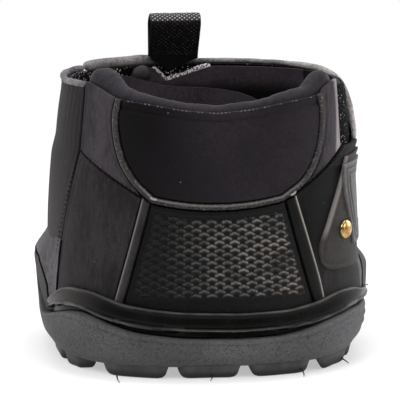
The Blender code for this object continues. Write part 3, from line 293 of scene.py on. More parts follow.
# Pebble: rounded grains of the mould's sparked skin, from the distance to scattered points and a fine noise.
pebble, given, gives = effect("mould_pebble", [
    ("Vector", "Vector", None), ("Grains", "Float", 800.0)], [("Height", "Float"), ("Value", "Float")])
grains = add(pebble, "TexVoronoi", {"Vector": given["Vector"], "Scale": given["Grains"], "Randomness": 1.0},
             feature="SMOOTH_F1")
finer = add(pebble, "TexNoise", {"Vector": given["Vector"], "Scale": reckon("MULTIPLY", given["Grains"], 2.3),
                                 "Detail": 3.0})
round_top = ramp(grains.outputs["Distance"], 0.0, 0.75, 1.0, 0.0)
pebble.links.new(add(pebble, "Mix", {0: 0.45, 2: round_top, 3: finer.outputs["Fac"]}).outputs[0], gives["Height"])
pebble.links.new(finer.outputs["Fac"], gives["Value"])

sole_rubber, shader, place = finish("sole_rubber", tone(74, 75, 78), 0.72, 0.28)
skin_grain = use(pebble, place, Grains=760.0)
broad = use(cloud, place, Patches=22.0, Flecks=900.0, Share=0.35)["Value"]
dusty = mixed(ramp(broad, 0.30, 0.72), tone(60, 59, 60), tone(82, 81, 83))
pits = flecked(place, 1300.0)
dusty = mixed(ramp(pits, 0.44, 0.34, 0.0, 0.75), dusty, tone(34, 34, 35))
wall_share = reckon("MULTIPLY", ramp(part(place, 0), -0.0690, -0.0725), ramp(part(place, 2), 0.0255, 0.0290))
dusty = mixed(wall_share, dusty, tone(46, 45, 46))
# Painted shade: the low parts of the pebble grain are darkened towards a near-black grey.
shade_in_hollows = mixed(ramp(skin_grain["Height"], 0.35, 0.15, 0.0, 0.6), dusty, tone(36, 36, 37))
paint(shader, shade_in_hollows, ramp(skin_grain["Value"], 0.3, 0.7, 0.62, 0.82), bump(skin_grain["Height"], 0.00022, 0.9))

station = np.concatenate([np.arange(0.0, 360.0, 1.25), HEEL + np.linspace(77, 85, 17), HEEL - np.linspace(77, 85, 17)])
station = np.unique(np.round(station % 360.0, 3))[:, None]
top = cup_height(station)
arc = np.linspace(0.0, np.pi / 2, 6)[None, :]
corner = sole_skin(station, LUG_DEPTH + CORNER * (1 - np.cos(arc)), -FOOT_INSET - CORNER * (1 - np.sin(arc)))
share = np.linspace(0.0, 1.0, 40)[None, 1:]
side_foot = LUG_DEPTH + CORNER
side_height = side_foot + (top - LIP_ROUND - side_foot) * share
under_lip = bell(top - side_height, 0.0021, 0.0004)
ridges = np.sin((top - side_height) / RIDGE_PITCH * 2 * np.pi) * ease((side_height - 0.0130) / 0.004) * ease(
    1 - np.abs(station - HEEL - 66.0) / 26.0)
side = sole_skin(station, side_height, -FOOT_INSET * (1 - ease((side_height - side_foot) / 0.005))
                 - 0.0004 * under_lip - 0.0006 * ridges * (top < 0.030))
lip = sole_skin(station, top - LIP_ROUND * (1 - np.sin(arc)), -LIP_ROUND * (1 - np.cos(arc)))[:, 1:]
inner_lip = upper_skin(station, top - INNER_ROUND * (1 - np.cos(arc)), CUP_GAP + INNER_ROUND * (1 - np.sin(arc)))
inside = upper_skin(station, top - INNER_ROUND + (LEDGE - top + INNER_ROUND) * np.linspace(0, 1, 7)[None, 1:], CUP_GAP)
well = upper_skin(station, LEDGE, -0.0068)
well_foot = well * (1, 1, 0) + (0, 0, WELL)
bottom = sole_skin(station, LUG_DEPTH, -FOOT_INSET - CORNER)
drawn_in = (0.02, 0.02, 1)
cup_rings = np.concatenate([bottom * drawn_in, bottom * (0.6, 0.6, 1), corner, side, lip, inner_lip, inside, well,
                            well_foot, well_foot * drawn_in], 1).transpose(1, 0, 2)
fit(tube_piece("sole_cup", cup_rings), sole_rubber, "sole_rubber", "boot_body", "outsole")

# Lugs: tapered blocks moulded in one with the cup, in a grid clipped by the tread's outline. Thin hairs of rubber
# from the mould's vents still hang at the corners of some.
lug_rubber, shader, place = finish("lug_rubber", tone(54, 54, 56), 0.66, 0.3)
skin_grain = use(pebble, place, Grains=620.0)
broad = use(cloud, place, Patches=60.0, Flecks=300.0, Share=0.3)["Value"]
lug_tone = mixed(ramp(broad, 0.35, 0.65), tone(46, 46, 47), tone(66, 66, 67))
# Painted shade: each lug darkens towards its foot by the floor.
shade_near_floor = ramp(part(place, 2), 0.0042, 0.0010)
paint(shader, mixed(shade_near_floor, lug_tone, tone(26, 26, 27)), normal=bump(skin_grain["Height"], 0.00015, 0.7))


def in_tread(x, y):
    """Measure that is below 1 inside the tread's outline: |x/a|^p + |y/b|^p."""
    reach, power = np.where(y > 0, 0.0688, 0.0693), np.where(y > 0, 2.2, 2.8)
    return np.abs(x / np.where(x > 0, 0.0658, 0.0690)) ** power + np.abs(y / reach) ** power


LUG_WIDE, LUG_LONG, GROOVE = 0.0312, 0.030, 0.0016
GRID_X, GRID_Y = -0.0047, 0.005
PAST_TREAD = 0.09


def lug_rings(column, row):
    """Levels of one lug: round its middle, 1/r is the 10-norm of the rays to its four walls and the outline.

    The outer lugs' outer walls lie past the tread, so that its outline cuts them.
    """
    halves = np.array((-0.5, 0.5))
    walls = np.array((GRID_X + (column + halves) * LUG_WIDE, GRID_Y + (row + halves) * LUG_LONG))
    if column == 2:
        walls[0, 1] = PAST_TREAD
    if column == -2:
        walls = np.array(((-PAST_TREAD, -0.0497), walls[1] + (0.0215 if row == -2 else 0.0085, 0.0085)))
    if row == 2:
        walls[1, 1] = PAST_TREAD
    if row == -2 and column > -2:
        walls[1, 0] = -PAST_TREAD
    x, y = np.meshgrid(np.linspace(*walls[0], 60), np.linspace(*walls[1], 60))
    kept = in_tread(x, y) < 1
    if kept.sum() < 120:
        return None
    middle_x, middle_y = x[kept].mean(), y[kept].mean()
    ray = np.linspace(0.0, 2 * np.pi, 72, endpoint=False)
    near, far = np.zeros(72), np.full(72, 0.2)
    for _ in range(30):
        half = (near + far) / 2
        inside_now = in_tread(middle_x + half * np.cos(ray), middle_y + half * np.sin(ray)) < 1
        near, far = np.where(inside_now, half, near), np.where(inside_now, far, half)
    across, forwards = np.cos(ray), np.sin(ray)
    reaches = ((across, walls[0, 1] - middle_x), (-across, middle_x - walls[0, 0]),
               (forwards, walls[1, 1] - middle_y), (-forwards, middle_y - walls[1, 0]))
    rings = []
    for height, inset in ((0.0058, -0.0003), (0.0044, 0.0003), (0.0030, 0.0008), (0.0018, 0.0012), (0.0009, 0.0017),
                          (0.0003, 0.0023), (0.0, 0.0032)):
        pull = (1.0 / np.clip(near - inset * 0.7, 0.002, None)) ** 10 + sum(
            (np.clip(toward, 0, None) / max(room - GROOVE - inset, 0.002)) ** 10 for toward, room in reaches)
        radius = pull ** -0.1
        rings.append(np.stack((middle_x + radius * across, middle_y + radius * forwards, 0 * ray + height), -1))
    return np.array(rings)


lug_number = 0
for column in range(-2, 3):
    for row in range(-2, 3):
        rings = lug_rings(column, row)
        if rings is not None:
            lug_number += 1
            fit(tube_piece(f"lug_{lug_number}", rings), lug_rubber, "sole_rubber", "boot_body")

for number, (start, bend, end) in enumerate((
        ((-0.0445, -0.0655, 0.0022), (-0.0452, -0.0690, 0.0012), (-0.0440, -0.0722, 0.0004)),
        ((-0.0040, -0.0680, 0.0016), (-0.0035, -0.0708, 0.0010), (-0.0050, -0.0738, 0.0004)),
        ((0.0355, -0.0645, 0.0022), (0.0368, -0.0678, 0.0012), (0.0360, -0.0705, 0.0004)),
        ((0.0555, -0.0455, 0.0022), (0.0582, -0.0480, 0.0012), (0.0590, -0.0502, 0.0004)),
        ((0.0725, -0.0040, 0.0255), (0.0745, -0.0048, 0.0252), (0.0752, -0.0062, 0.0262))), 1):
    t = np.linspace(0, 1, 9)[:, None]
    core = (1 - t) ** 2 * np.array(start) + 2 * t * (1 - t) * np.array(bend) + t ** 2 * np.array(end)
    spoke = np.linspace(0, 2 * np.pi, 6, endpoint=False)[None, :, None]
    hair = core[:, None] + 0.00042 * (1 - 0.6 * t)[:, None] * (
        np.cos(spoke) * np.array((1.0, 0.0, 0.0)) + np.sin(spoke) * np.array((0.0, 0.35, 0.9)))
    fit(tube_piece(f"vent_hair_{number}", hair), lug_rubber, "sole_rubber", "boot_body")

# Heel rand: a smooth band of glossy black rubber cemented round the upper's foot behind, with a bead along
# its top and a thin lip along its foot.
ROLLED = 0.0660
MIDDLE = math.radians(HEEL) * ROLLED
NEAR_AN_EDGE = np.array((0.0, 0.1, 0.25, 0.5, 0.8, 1.2, 1.7, 2.3, 3.0)) / 1000


def flat(angle, height):
    """Places on the upper rolled out flat: distance round the boot, and height."""
    return np.stack(np.broadcast_arrays(np.radians(np.asarray(angle, float)) * ROLLED, height), -1)


def angle_of(places):
    """Angles round the boot of places on the rolled out upper."""
    return np.degrees(places[..., 0] / ROLLED)


def on_skin(places, out=0.0):
    """Points of the upper's skin at places on the rolled out upper, or a distance out from them."""
    return upper_skin(angle_of(places), places[..., 1], out)


def reach_of(line):
    """The distance along a line of points, up to each of them."""
    return np.concatenate(((0.0,), np.cumsum(np.linalg.norm(np.diff(line, axis=0), axis=1))))


def along(seam, share):
    """Places at shares of a seam's length."""
    reached = reach_of(seam)
    return np.stack([np.interp(np.asarray(share) * reached[-1], reached, seam[:, k]) for k in (0, 1)], -1)


def strip(start, end):
    """A short seam between two places."""
    return np.stack((start, end))


def ruled(foot, head):
    """The four seams of a patch: its foot, its head and a straight side at both their ends."""
    return foot, head, strip(foot[0], head[0]), strip(foot[-1], head[-1])


def filled(foot, head, left, right, u, v):
    """Places inside four seams: ruled up plus ruled across less the bilinear corners."""
    u, v = u[None, :], v[:, None]
    a, b = u[..., None], v[..., None]
    corners = (1 - a) * (1 - b) * foot[0] + a * (1 - b) * foot[-1] + (1 - a) * b * head[0] + a * b * head[-1]
    return (1 - b) * along(foot, u) + b * along(head, u) + (1 - a) * along(left, v) + a * along(right, v) - corners


def shares(length, step):
    """Shares of a run: close together by both ends, and a step apart between them."""
    near = NEAR_AN_EDGE[NEAR_AN_EDGE < 0.4 * length]
    middle = np.linspace(near[-1], length - near[-1], max(int((length - 2 * near[-1]) / step), 1) + 1)[1:-1]
    return np.concatenate((near, middle, length - near[::-1])) / length


def shell_piece(name, outer, inner, uv, edge, mark=0.0):
    """Closed piece from an outer and an inner grid of points, joined by walls round their borders."""
    rows, columns = outer.shape[:2]
    count = rows * columns
    face = grid_quads(rows, columns)
    index = np.arange(count).reshape(rows, columns)
    rim = np.concatenate((index[0], index[1:, -1], index[-1, -2::-1], index[-2:0:-1, 0]))
    after = np.roll(rim, -1)
    quads = np.concatenate((face, face[:, ::-1] + count, np.stack((rim, after, after + count, rim + count), -1)))
    return make_piece(name, np.stack((outer, inner)), quads, (), np.stack((uv, uv)),
                      edge=np.stack((edge, 0 * edge)), mark=np.stack((edge * 0 + mark, 0 * edge)))


def panel(name, foot, head, left, right, out, thickness, roll=0.0008, relief=None, step=0.0016, mark=None,
          mirrored=False):
    """A sewn panel: its edge rolls down by r - sqrt(r^2 - (r - d)^2) at a distance d from the border."""
    spans = [np.linalg.norm(np.diff(seam, axis=0), axis=1).sum() for seam in (foot, head, left, right)]
    places = filled(foot, head, left, right, shares(max(spans[:2]), step), shares(max(spans[2:]), step))
    across = np.cumsum(np.pad(np.linalg.norm(np.diff(places, axis=1), axis=2), ((0, 0), (1, 0))), 1)
    up = np.cumsum(np.pad(np.linalg.norm(np.diff(places, axis=0), axis=2), ((1, 0), (0, 0))), 0)
    edge = np.minimum(np.minimum(across, across[:, -1:] - across), np.minimum(up, up[-1:] - up))
    if mirrored:
        places[..., 0] = 2 * MIDDLE - places[..., 0]
    stand = out - roll + np.sqrt(roll ** 2 - np.clip(roll - edge, 0, None) ** 2)
    if relief is not None:
        stand = stand + relief(places, edge, across, up)
    marked = 0.0 if mark is None else mark(places, edge, across, up)
    return shell_piece(name, on_skin(places, stand), on_skin(places, out - thickness), places, edge, marked)


def noise(x, y, seed=0):
    """Smooth noise of -1 to 1: random heights on a square lattice, joined by smooth steps."""
    lattice = np.random.default_rng(seed).uniform(-1, 1, (64, 64))
    i, j = np.floor(x).astype(int), np.floor(y).astype(int)
    s, t = ease(x - i), ease(y - j)
    low = lattice[i % 64, j % 64] * (1 - s) + lattice[(i + 1) % 64, j % 64] * s
    high = lattice[i % 64, (j + 1) % 64] * (1 - s) + lattice[(i + 1) % 64, (j + 1) % 64] * s
    return low * (1 - t) + high * t


def rolling(places, size, amount, seed=0, stretch=1.0):
    """Slow rise and fall of a sewn skin: two octaves of smooth noise of one size, stretched upwards."""
    x, y = places[..., 0] / size, places[..., 1] / (size * stretch)
    return amount * (noise(x, y, seed) + 0.45 * noise(2.1 * x + 7.3, 2.1 * y + 3.1, seed + 1))


def mark_of(shader):
    """The mark that a piece's mesh carries at each of its points."""
    return add(shader, "Attribute", attribute_name="mark").outputs["Fac"]


rand_rubber, shader, place = finish("rand_rubber", tone(12, 11, 10), 0.28, 0.10)
soft = use(cloud, place, Patches=70.0, Flecks=1500.0, Share=0.35)["Value"]
plain = mixed(ramp(soft, 0.5, 0.75), tone(8, 7, 6), tone(16, 15, 14))
# Painted highlight: the mark brings in a pale grey along the rand's top, along its lip and over its left end.
paint(shader, mixed(mark_of(shader), plain, tone(96, 93, 92)), ramp(soft, 0.35, 0.7, 0.2, 0.36),
      bump(soft, 0.00012, 0.5))
RAND_TURNS = (-78, -65, -55, -48, -42, -35, -25, -15, 6, 24, 33, 41, 50, 57, 78)
RAND_LIPS = (0.0205, 0.0260, 0.0283, 0.0281, 0.0258, 0.0240, 0.0223, 0.0215, 0.0208, 0.0214, 0.0225, 0.0243, 0.0262,
             0.0268, 0.0262)
HEAD_TURNS = (-78, -68, -61, -55, -46, -39, -34, -25, -15, 7, 24, 36, 40, 45, 50, 54, 60, 70, 78)
HEAD_HEIGHTS = (0.0244, 0.0300, 0.0348, 0.0366, 0.0363, 0.0342, 0.0323, 0.0307, 0.0295, 0.0286, 0.0291, 0.0314,
                0.0328, 0.0342, 0.0343, 0.0339, 0.0316, 0.0292, 0.0288)


def over_rand_lip(places):
    """How far places lie above the rand's lip."""
    return places[..., 1] - smoothed(angle_of(places), RAND_TURNS, RAND_LIPS, 2.0)


def rand_relief(places, edge, across, up):
    """A band over a lip, both standing clear of the set-back groove above the cup, with a fine bead at its top."""
    over_lip = over_rand_lip(places)
    return (0.0006 * bell(over_lip, 0.0005, 0.0005) - 0.0003 * bell(over_lip, 0.0017, 0.0005)
            - 0.0020 * ease((0.0001 - over_lip) / 0.0004) + 0.0003 * bell(up[-1:] - up, 0.0009, 0.0004)
            + rolling(places, 0.02, 0.00006))


def rand_highlight(places, edge, across, up):
    """Painted highlight: pale grey along the top and the lip, and a paler left end."""
    over_lip = over_rand_lip(places)
    turn = angle_of(places) - HEEL
    highlight = 0.8 * bell(up[-1:] - up, 0, 0.0005) * (0.55 + 0.45 * np.clip((turn + 30) / 60, 0, 1))
    highlight = highlight + 0.75 * bell(over_lip, 0.0006, 0.00035)
    left_end = np.clip((-40 - turn) / 18, 0, 1) * (over_lip > 0)
    return np.clip(highlight * (0.75 + 0.25 * noise(across / 0.004, up / 0.002, 7)) + 0.22 * left_end, 0, 1)


rand_angles = HEEL + np.linspace(-75, 75, 121)
rand_foot = flat(rand_angles, lip_height(rand_angles) + 0.0004)
rand_head = flat(rand_angles, smoothed(rand_angles, HEAD_TURNS, HEAD_HEIGHTS, 2.0))
fit(panel("heel_rand_band", *ruled(rand_foot, rand_head), 0.0030, 0.0020, 0.0005, rand_relief, 0.00045,
          rand_highlight), rand_rubber, "rand_rubber", "boot_body", "heel_rand")

# Collar pad: a smooth leather cushion stuffed with foam behind the pastern, sewn down all round and along a line
# under its top.
PAD_TURNS = np.array((25.0, 33.5, 38.5, 41.5, 43.0, 42.0))
LEFT_PAD_TURNS = np.array((25.0, 31.2, 35.8, 38.5, 39.8, 38.8))
PAD_RISES = np.array((0.0, 0.165, 0.35, 0.56, 0.80, 1.0))


def collar_height(turn):
    """Top edge of the upper by degrees from the heel's middle: low behind, high at the sides."""
    turn = np.abs(np.asarray(turn, float))[..., None] + np.linspace(-2, 2, 5)
    rise = np.interp(np.abs(turn), (0, 15, 30, 42, 49, 56, 64, 80, 122),
                     (0, 0.12, 0.35, 0.48, 0.78, 0.98, 0.96, 0.88, 0.875))
    return 0.1140 + 0.0120 * rise.mean(-1)


def rounded(places, pieces):
    """A seam rounded by cubic stretches through its places, each from the four places about it."""
    ends = np.vstack((2 * places[0] - places[1], places, 2 * places[-1] - places[-2]))
    t = (np.arange(pieces) / pieces)[None, :, None]
    a, b, c, d = (ends[k:len(ends) - 3 + k][:, None] for k in range(4))
    run = 0.5 * (2 * b + (c - a) * t + (2 * a - 5 * b + 4 * c - d) * t ** 2 + (3 * b - a - 3 * c + d) * t ** 3)
    return np.vstack((run.reshape(-1, 2), places[-1]))


def unit(vectors):
    """Vectors brought to a length of 1."""
    return vectors / np.linalg.norm(vectors, axis=-1, keepdims=True)


def beside(seam, distance):
    """A seam moved sideways, to the left of its run."""
    run = unit(np.gradient(seam, axis=0))
    return seam + distance * np.column_stack((-run[:, 1], run[:, 0]))


def mirror_seam(seam):
    """A seam on the other side of the heel's middle, run the other way."""
    return np.column_stack((2 * MIDDLE - seam[::-1, 0], seam[::-1, 1]))


def collar_line(start, end, steps, drop=0.0):
    """The upper's top edge between two turns from the heel's middle, lowered by a drop."""
    turns = np.linspace(start, end, steps)
    return flat(HEEL + turns, collar_height(turns) - drop)


foot_turns = np.linspace(-25, 25, 25)
pad_foot = flat(HEEL + foot_turns, 0.0755 + 0.0030 * (foot_turns / 25) ** 2)
pad_right, left_edge = (rounded(flat(HEEL + turns, 0.0785 + PAD_RISES * (collar_height(turns) - 0.0785)), 6)
                        for turns in (PAD_TURNS, LEFT_PAD_TURNS))
pad_left = mirror_seam(left_edge)[::-1]
pad_outline = np.vstack((pad_left[::-1][:-1], pad_foot, pad_right[1:]))
hem = beside(pad_outline, -0.0036)

# Leather grain: small cells with creases between them, a second finer size of cells, and pores.
grain, given, gives = effect("leather_grain", [
    ("Vector", "Vector", None), ("Cells", "Float", 900.0), ("Depth", "Float", 0.5)],
    [("Height", "Float"), ("Crease", "Float")])
bent = add(grain, "TexNoise", {"Vector": given["Vector"], "Scale": 400.0, "Detail": 2.0})
moved = add(grain, "VectorMath", {0: given["Vector"], 1: add(
    grain, "VectorMath", {0: bent.outputs["Color"], "Scale": 0.0008}, operation="SCALE").outputs[0]}, operation="ADD")
cells = add(grain, "TexVoronoi", {"Vector": moved.outputs[0], "Scale": given["Cells"]}, feature="DISTANCE_TO_EDGE")
small = add(grain, "TexVoronoi", {"Vector": moved.outputs[0], "Scale": reckon("MULTIPLY", given["Cells"], 2.1)},
            feature="DISTANCE_TO_EDGE")
crease = ramp(cells.outputs[0], 0.0, 0.16)
fine_crease = ramp(small.outputs[0], 0.0, 0.14)
grain.links.new(add(grain, "Mix", {0: given["Depth"], 2: fine_crease, 3: crease}).outputs[0], gives["Height"])
grain.links.new(crease, gives["Crease"])

# Dust: small pale specks that lie on dark leather, from the near cores of scattered points.
dust, given, gives = effect("dust_specks", [
    ("Vector", "Vector", None), ("Scatter", "Float", 190.0), ("Size", "Float", 0.045)], [("Value", "Float")])
points = add(dust, "TexVoronoi", {"Vector": given["Vector"], "Scale": given["Scatter"]})
chosen = ramp(add(dust, "SeparateColor", {0: points.outputs["Color"]}).outputs[0], 0.80, 0.82)
near_core = ramp(points.outputs["Distance"], reckon("MULTIPLY", given["Size"], 1.6), given["Size"])
dust.links.new(reckon("MULTIPLY", chosen, near_core), gives["Value"])


def leather(name, dark, light, roughness=0.6, cells=900.0, depth=0.5, relief=0.00008, patches=60.0,
            specks=0.4, specular=0.12, mark_tone=None, streak=1.0, fade=None):
    """A leather: cloudy colour between two tones, drawn out upwards where streak is low, with painted shade in its
    creases.

    Fade gives an axis, a start, an end and the share of its brightness that is left there.
    """
    dark, light = tone(*dark), tone(*light)
    material, shader, place = finish(name, dark, roughness, specular)
    skin_grain = use(grain, place, Cells=cells, Depth=depth)
    drawn = add(place, "VectorMath", {0: place, 1: (1.0, 1.0, streak)}, operation="MULTIPLY").outputs[0]
    shade = use(cloud, drawn, Patches=patches, Flecks=700.0, Share=0.4)["Value"]
    colour = mixed(ramp(shade, 0.38, 0.62), dark, light)
    # Painted shade: the grain's creases are darkened towards 0.3 of the dark tone.
    colour = mixed(ramp(skin_grain["Crease"], 0.6, 0.0, 0.0, 0.45), colour,
                   tuple(0.3 * c for c in dark[:3]) + (1,))
    if fade is not None:
        axis, start, end, share = fade
        colour = mixed(ramp(part(place, axis), start, end), colour, (share, share, share, 1), "MULTIPLY")
    if mark_tone is not None:
        colour = mixed(mark_of(shader), colour, tone(*mark_tone))
    specked = reckon("MULTIPLY", use(dust, place)["Value"], specks)
    paint(shader, mixed(specked, colour, tone(130, 126, 128)),
          ramp(shade, 0.3, 0.7, roughness - 0.06, roughness + 0.1), bump(skin_grain["Height"], relief, 0.8))
    return material


pad_leather = leather("pad_leather", (30, 26, 30), (40, 35, 39), roughness=0.52, cells=1500.0, depth=0.4,
                      relief=0.00005, patches=30.0, specks=0.5, specular=0.08, fade=(0, 0.006, -0.034, 0.25))


def pad_relief(places, edge, across, up):
    """The foam's crown over its sewn border, pulled down along a line of stitches below the top."""
    width, height = across[:, -1:], up[-1:]
    from_top = height - up
    crown = np.sin(np.pi * across / width) * np.sin(np.pi * np.clip(up / height, 0, 1))
    swell = 0.0004 + 0.0022 * np.clip(crown, 0, None) ** 0.6
    top_line = 0.0008 * bell(from_top, 0.0034, 0.0007)
    return swell - top_line + rolling(places, 0.022, 0.00022, 5)


pad_top = collar_line(-38.8, 42, 41)
collar_pad = panel("collar_pad", pad_foot, pad_top, pad_left, pad_right, 0.0, 0.0014, 0.0008, pad_relief, 0.0009)
fit(collar_pad, pad_leather, "collar_leather", "boot_body", "collar_pad")

# Collar binding: grey textured tape folded over the pad's border and sewn down round its sides and foot.
binding_tape, shader, place = finish("binding_tape", tone(60, 56, 57), 0.7, 0.25)
tape_place = add(shader, "UVMap").outputs[0]
fleck = flecked(place, 1500.0)
ribs = flecked(tape_place, 900.0, Distortion=0.4)
mottled = mixed(ramp(fleck, 0.40, 0.62), tone(20, 18, 18), tone(48, 45, 45))
mottled = mixed(ramp(ribs, 0.58, 0.66), mottled, tone(84, 80, 79))
paint(shader, mixed(mark_of(shader), mottled, tone(122, 118, 118)),
      normal=bump(ribs, 0.00020, 0.8, bump(fleck, 0.00015, 0.6)))

binding_inner, binding_outer = beside(pad_outline, -0.0005), beside(pad_outline, -0.0031)


def tape_relief(places, edge, across, up):
    """Small uneven puckers of a sewn tape, and a thin raised cord along its outer border."""
    return rolling(places, 0.0035, 0.00012, 11) + 0.00025 * bell(up, 0.0004, 0.0003)


def tape_mark(places, edge, across, up):
    """Pale along the inner border under the pad, and greyer with a faint outer line up both sides."""
    foot = ease((0.0870 - places[..., 1]) / 0.008)
    from_inner = up[-1:] - up
    return (0.52 * foot * bell(from_inner, 0.0006, 0.0004)
            + (1 - foot) * (0.04 + 0.22 * bell(up, 0.0004, 0.0003)))


fit(panel("collar_binding", *ruled(binding_outer, binding_inner), 0.0009, 0.0019, 0.0009, tape_relief, 0.0005,
          tape_mark), binding_tape, "trim_binding", "boot_body", "collar_binding")

# Heel panel: glossy black leather pressed with staggered rows of scales like small arrowheads, plain round its
# border, sewn between two trims.
SEAM = 0.0005
FOOT = LEDGE + SEAM + 0.0035 * 0.22
half_hem = hem[(hem[:, 1] < 0.1118) & (hem[:, 0] >= MIDDLE)]
half_hem = half_hem[:int(np.argmax(half_hem[:, 0])) + 1]


def under_hem(turn):
    """Places under the collar binding at turns from the heel's middle."""
    turn = np.asarray(turn, float)
    away = np.radians(HEEL + np.abs(turn)) * ROLLED
    return flat(HEEL + turn, np.interp(away, half_hem[:, 0], half_hem[:, 1]))


def leaning(foot_turn, head_turn, start=FOOT):
    """A straight seam from the upper's foot, or a start height, up to the collar binding."""
    foot, head = flat(HEEL + foot_turn, FOOT), under_hem(head_turn)
    return strip(foot + (head - foot) * (start - foot[1]) / (head[1] - foot[1]), head)


def foot_run(start, end):
    """The upper's lower edge between two turns from the heel's middle."""
    return flat(HEEL + np.linspace(start, end, 31), FOOT)


LEATHER = 0.0018
PANEL_FOOT, PANEL_HEAD = 37.0, 26.3
SCALE_WIDTH, SCALE_RISE = 0.0069, 0.0035


def scales(places, edge, across, up):
    """How far each scale stands up: on two staggered lattices, a crest along q = c - |p|, cut off at its ends."""
    x, y = (places[..., 0] - MIDDLE) / SCALE_WIDTH, (places[..., 1] - 0.031) / SCALE_RISE
    raised = 0.0
    for shift in (0.0, 0.5):
        p = (x + shift + 0.5) % 1.0 - 0.5
        q = (y + shift + 0.5) % 1.0 - 0.5
        above = q - 0.14 + 0.80 * np.abs(p)
        crest = np.exp(-(above / np.where(above > 0, 0.09, 0.27)) ** 2) * ease((0.40 - np.abs(p)) / 0.13)
        raised = np.maximum(raised, crest)
    within = ease((edge - 0.0018) / 0.0016) * ease((up[-1:] - up - 0.0030) / 0.0012) * ease((up - 0.0165) / 0.0025)
    return raised * within * (0.8 + 0.2 * noise(x * 2, y * 2, 23))


def scale_relief(places, edge, across, up):
    """The scales, the groove of the seam under the binding and the slow roll of the skin."""
    row = 0.00035 * bell(up[-1:] - up, 0.0030, 0.0005)
    return 0.00085 * scales(places, edge, across, up) - row + rolling(places, 0.03, 0.00012, 21)


def scale_highlight(places, edge, across, up):
    """Painted highlight on the crests: faint by the left side, full from the middle on."""
    x, y = (places[..., 0] - MIDDLE) / SCALE_WIDTH, places[..., 1] / SCALE_RISE
    rightwards = ease((places[..., 0] - MIDDLE + 0.028) / 0.034)
    uneven = 0.75 + 0.35 * noise(x * 1.7, y * 1.3, 25)
    return np.clip(scales(places, edge, across, up) ** 1.7 * (0.06 + 1.04 * rightwards) * uneven, 0, 1)


heel_leather, shader, place = finish("heel_leather", tone(12, 11, 11), 0.3, 0.14)
skin_grain = use(grain, place, Cells=1400.0, Depth=0.5)
shade = use(cloud, place, Patches=60.0, Flecks=1300.0, Share=0.5)["Value"]
# Painted light: a pale highlight on the scale crests, warm towards the right, over a base that is darker towards the
# left as painted shade.
side_share = part(place, 0)
warm_glint = reckon("MULTIPLY", ramp(side_share, 0.010, 0.034), ramp(shade, 0.48, 0.60))
crest = reckon("MULTIPLY", mark_of(shader), ramp(shade, 0.30, 0.55, 0.35, 1.0))
highlight = mixed(warm_glint, tone(126, 123, 120), tone(172, 150, 136))
glossy = mixed(ramp(side_share, -0.010, 0.034), tone(6, 5, 5), tone(13, 12, 12))
paint(shader, mixed(crest, glossy, highlight), ramp(shade, 0.3, 0.7, 0.22, 0.40),
      bump(skin_grain["Height"], 0.00006, 0.7))
fit(panel("heel_panel_skin", foot_run(-PANEL_FOOT, PANEL_FOOT), under_hem(np.linspace(-PANEL_HEAD, PANEL_HEAD, 31)),
          leaning(-PANEL_FOOT, -PANEL_HEAD), leaning(PANEL_FOOT, PANEL_HEAD), 0.0, LEATHER, 0.0006,
          scale_relief, 0.00036, scale_highlight),
    heel_leather, "embossed_leather", "boot_body", "heel_panel")

# Heel trims: narrow folded strips sewn over both side seams of the heel panel, with a fine cord at their rims.
SEAM_TURN, TRIM_TURN = math.degrees(SEAM / ROLLED), math.degrees(0.0034 / ROLLED)
TRIM_FOOT = (PANEL_FOOT + SEAM_TURN, PANEL_FOOT + SEAM_TURN + TRIM_TURN)
TRIM_HEAD = (PANEL_HEAD + SEAM_TURN, PANEL_HEAD + SEAM_TURN + TRIM_TURN)
TRIM_START = 0.0268
# The right trim takes a darker copy of the trim leather: painted shade on the right side.
trim_leather, trim_shaded = (
    leather(name, dark, light, roughness=0.42, cells=1300.0, relief=0.00007, specular=0.1, mark_tone=rim)
    for name, dark, light, rim in (("trim_leather", (30, 28, 28), (46, 44, 44), (112, 108, 106)),
                                   ("trim_shaded", (12, 11, 11), (20, 19, 18), (160, 155, 148))))


def trim_relief(places, edge, across, up):
    """A low round across the strip, with a fine raised cord at each rim."""
    width = across[:, -1:]
    return 0.0004 * np.sin(np.pi * across / width) + 0.00018 * bell(edge, 0.0004, 0.00022)


def outer_rim(places, edge, across, up):
    """Rubbed pale along the strip's outer rim."""
    return 0.9 * bell(across[:, -1:] - across, 0.0004, 0.00045)


inner_side, straight = (leaning(foot, head, TRIM_START) for foot, head in zip(TRIM_FOOT, TRIM_HEAD))
lean, rise = straight[1] - straight[0]
bowed = np.array((0.0012, 0.0024, 0.0024, 0.0014)) + lean * np.array((0.0, 0.29, 0.66, 1.0))
bow = rounded(straight[0] + np.column_stack((bowed, (0.0, 0.014, 0.032, rise))), 8)
for side_name, mirrored, outer_side, strip_leather in (("right", False, bow, trim_shaded),
                                                       ("left", True, straight, trim_leather)):
    fit(panel("heel_trim_" + side_name, strip(inner_side[0], outer_side[0]), strip(inner_side[1], outer_side[-1]),
              inner_side, outer_side, 0.0007, LEATHER, 0.0006, trim_relief, 0.0008, outer_rim, mirrored),
        strip_leather, "trim_binding", "boot_body", "heel_trim_" + side_name)

# Wings: smooth grey leather panels between the collar pad and the side seams, sewn down all round. Their
# grain runs upwards, and the right one's front edge is rubbed pale.
SIDE_FOOT, SIDE_HEAD = 72.8, 56.5
wing_height = 0.016 + 0.112 * 0.715
wing_tip, up = under_hem(TRIM_HEAD[1] + SEAM_TURN), np.array((0.0, SEAM))
seam_head = flat(HEEL + SIDE_HEAD, wing_height)
wing_leather = leather("wing_leather", (40, 36, 40), (62, 57, 61), cells=1000.0, depth=0.4, relief=0.00007,
                       patches=90.0, specks=0.3, mark_tone=(138, 132, 136), streak=0.22)


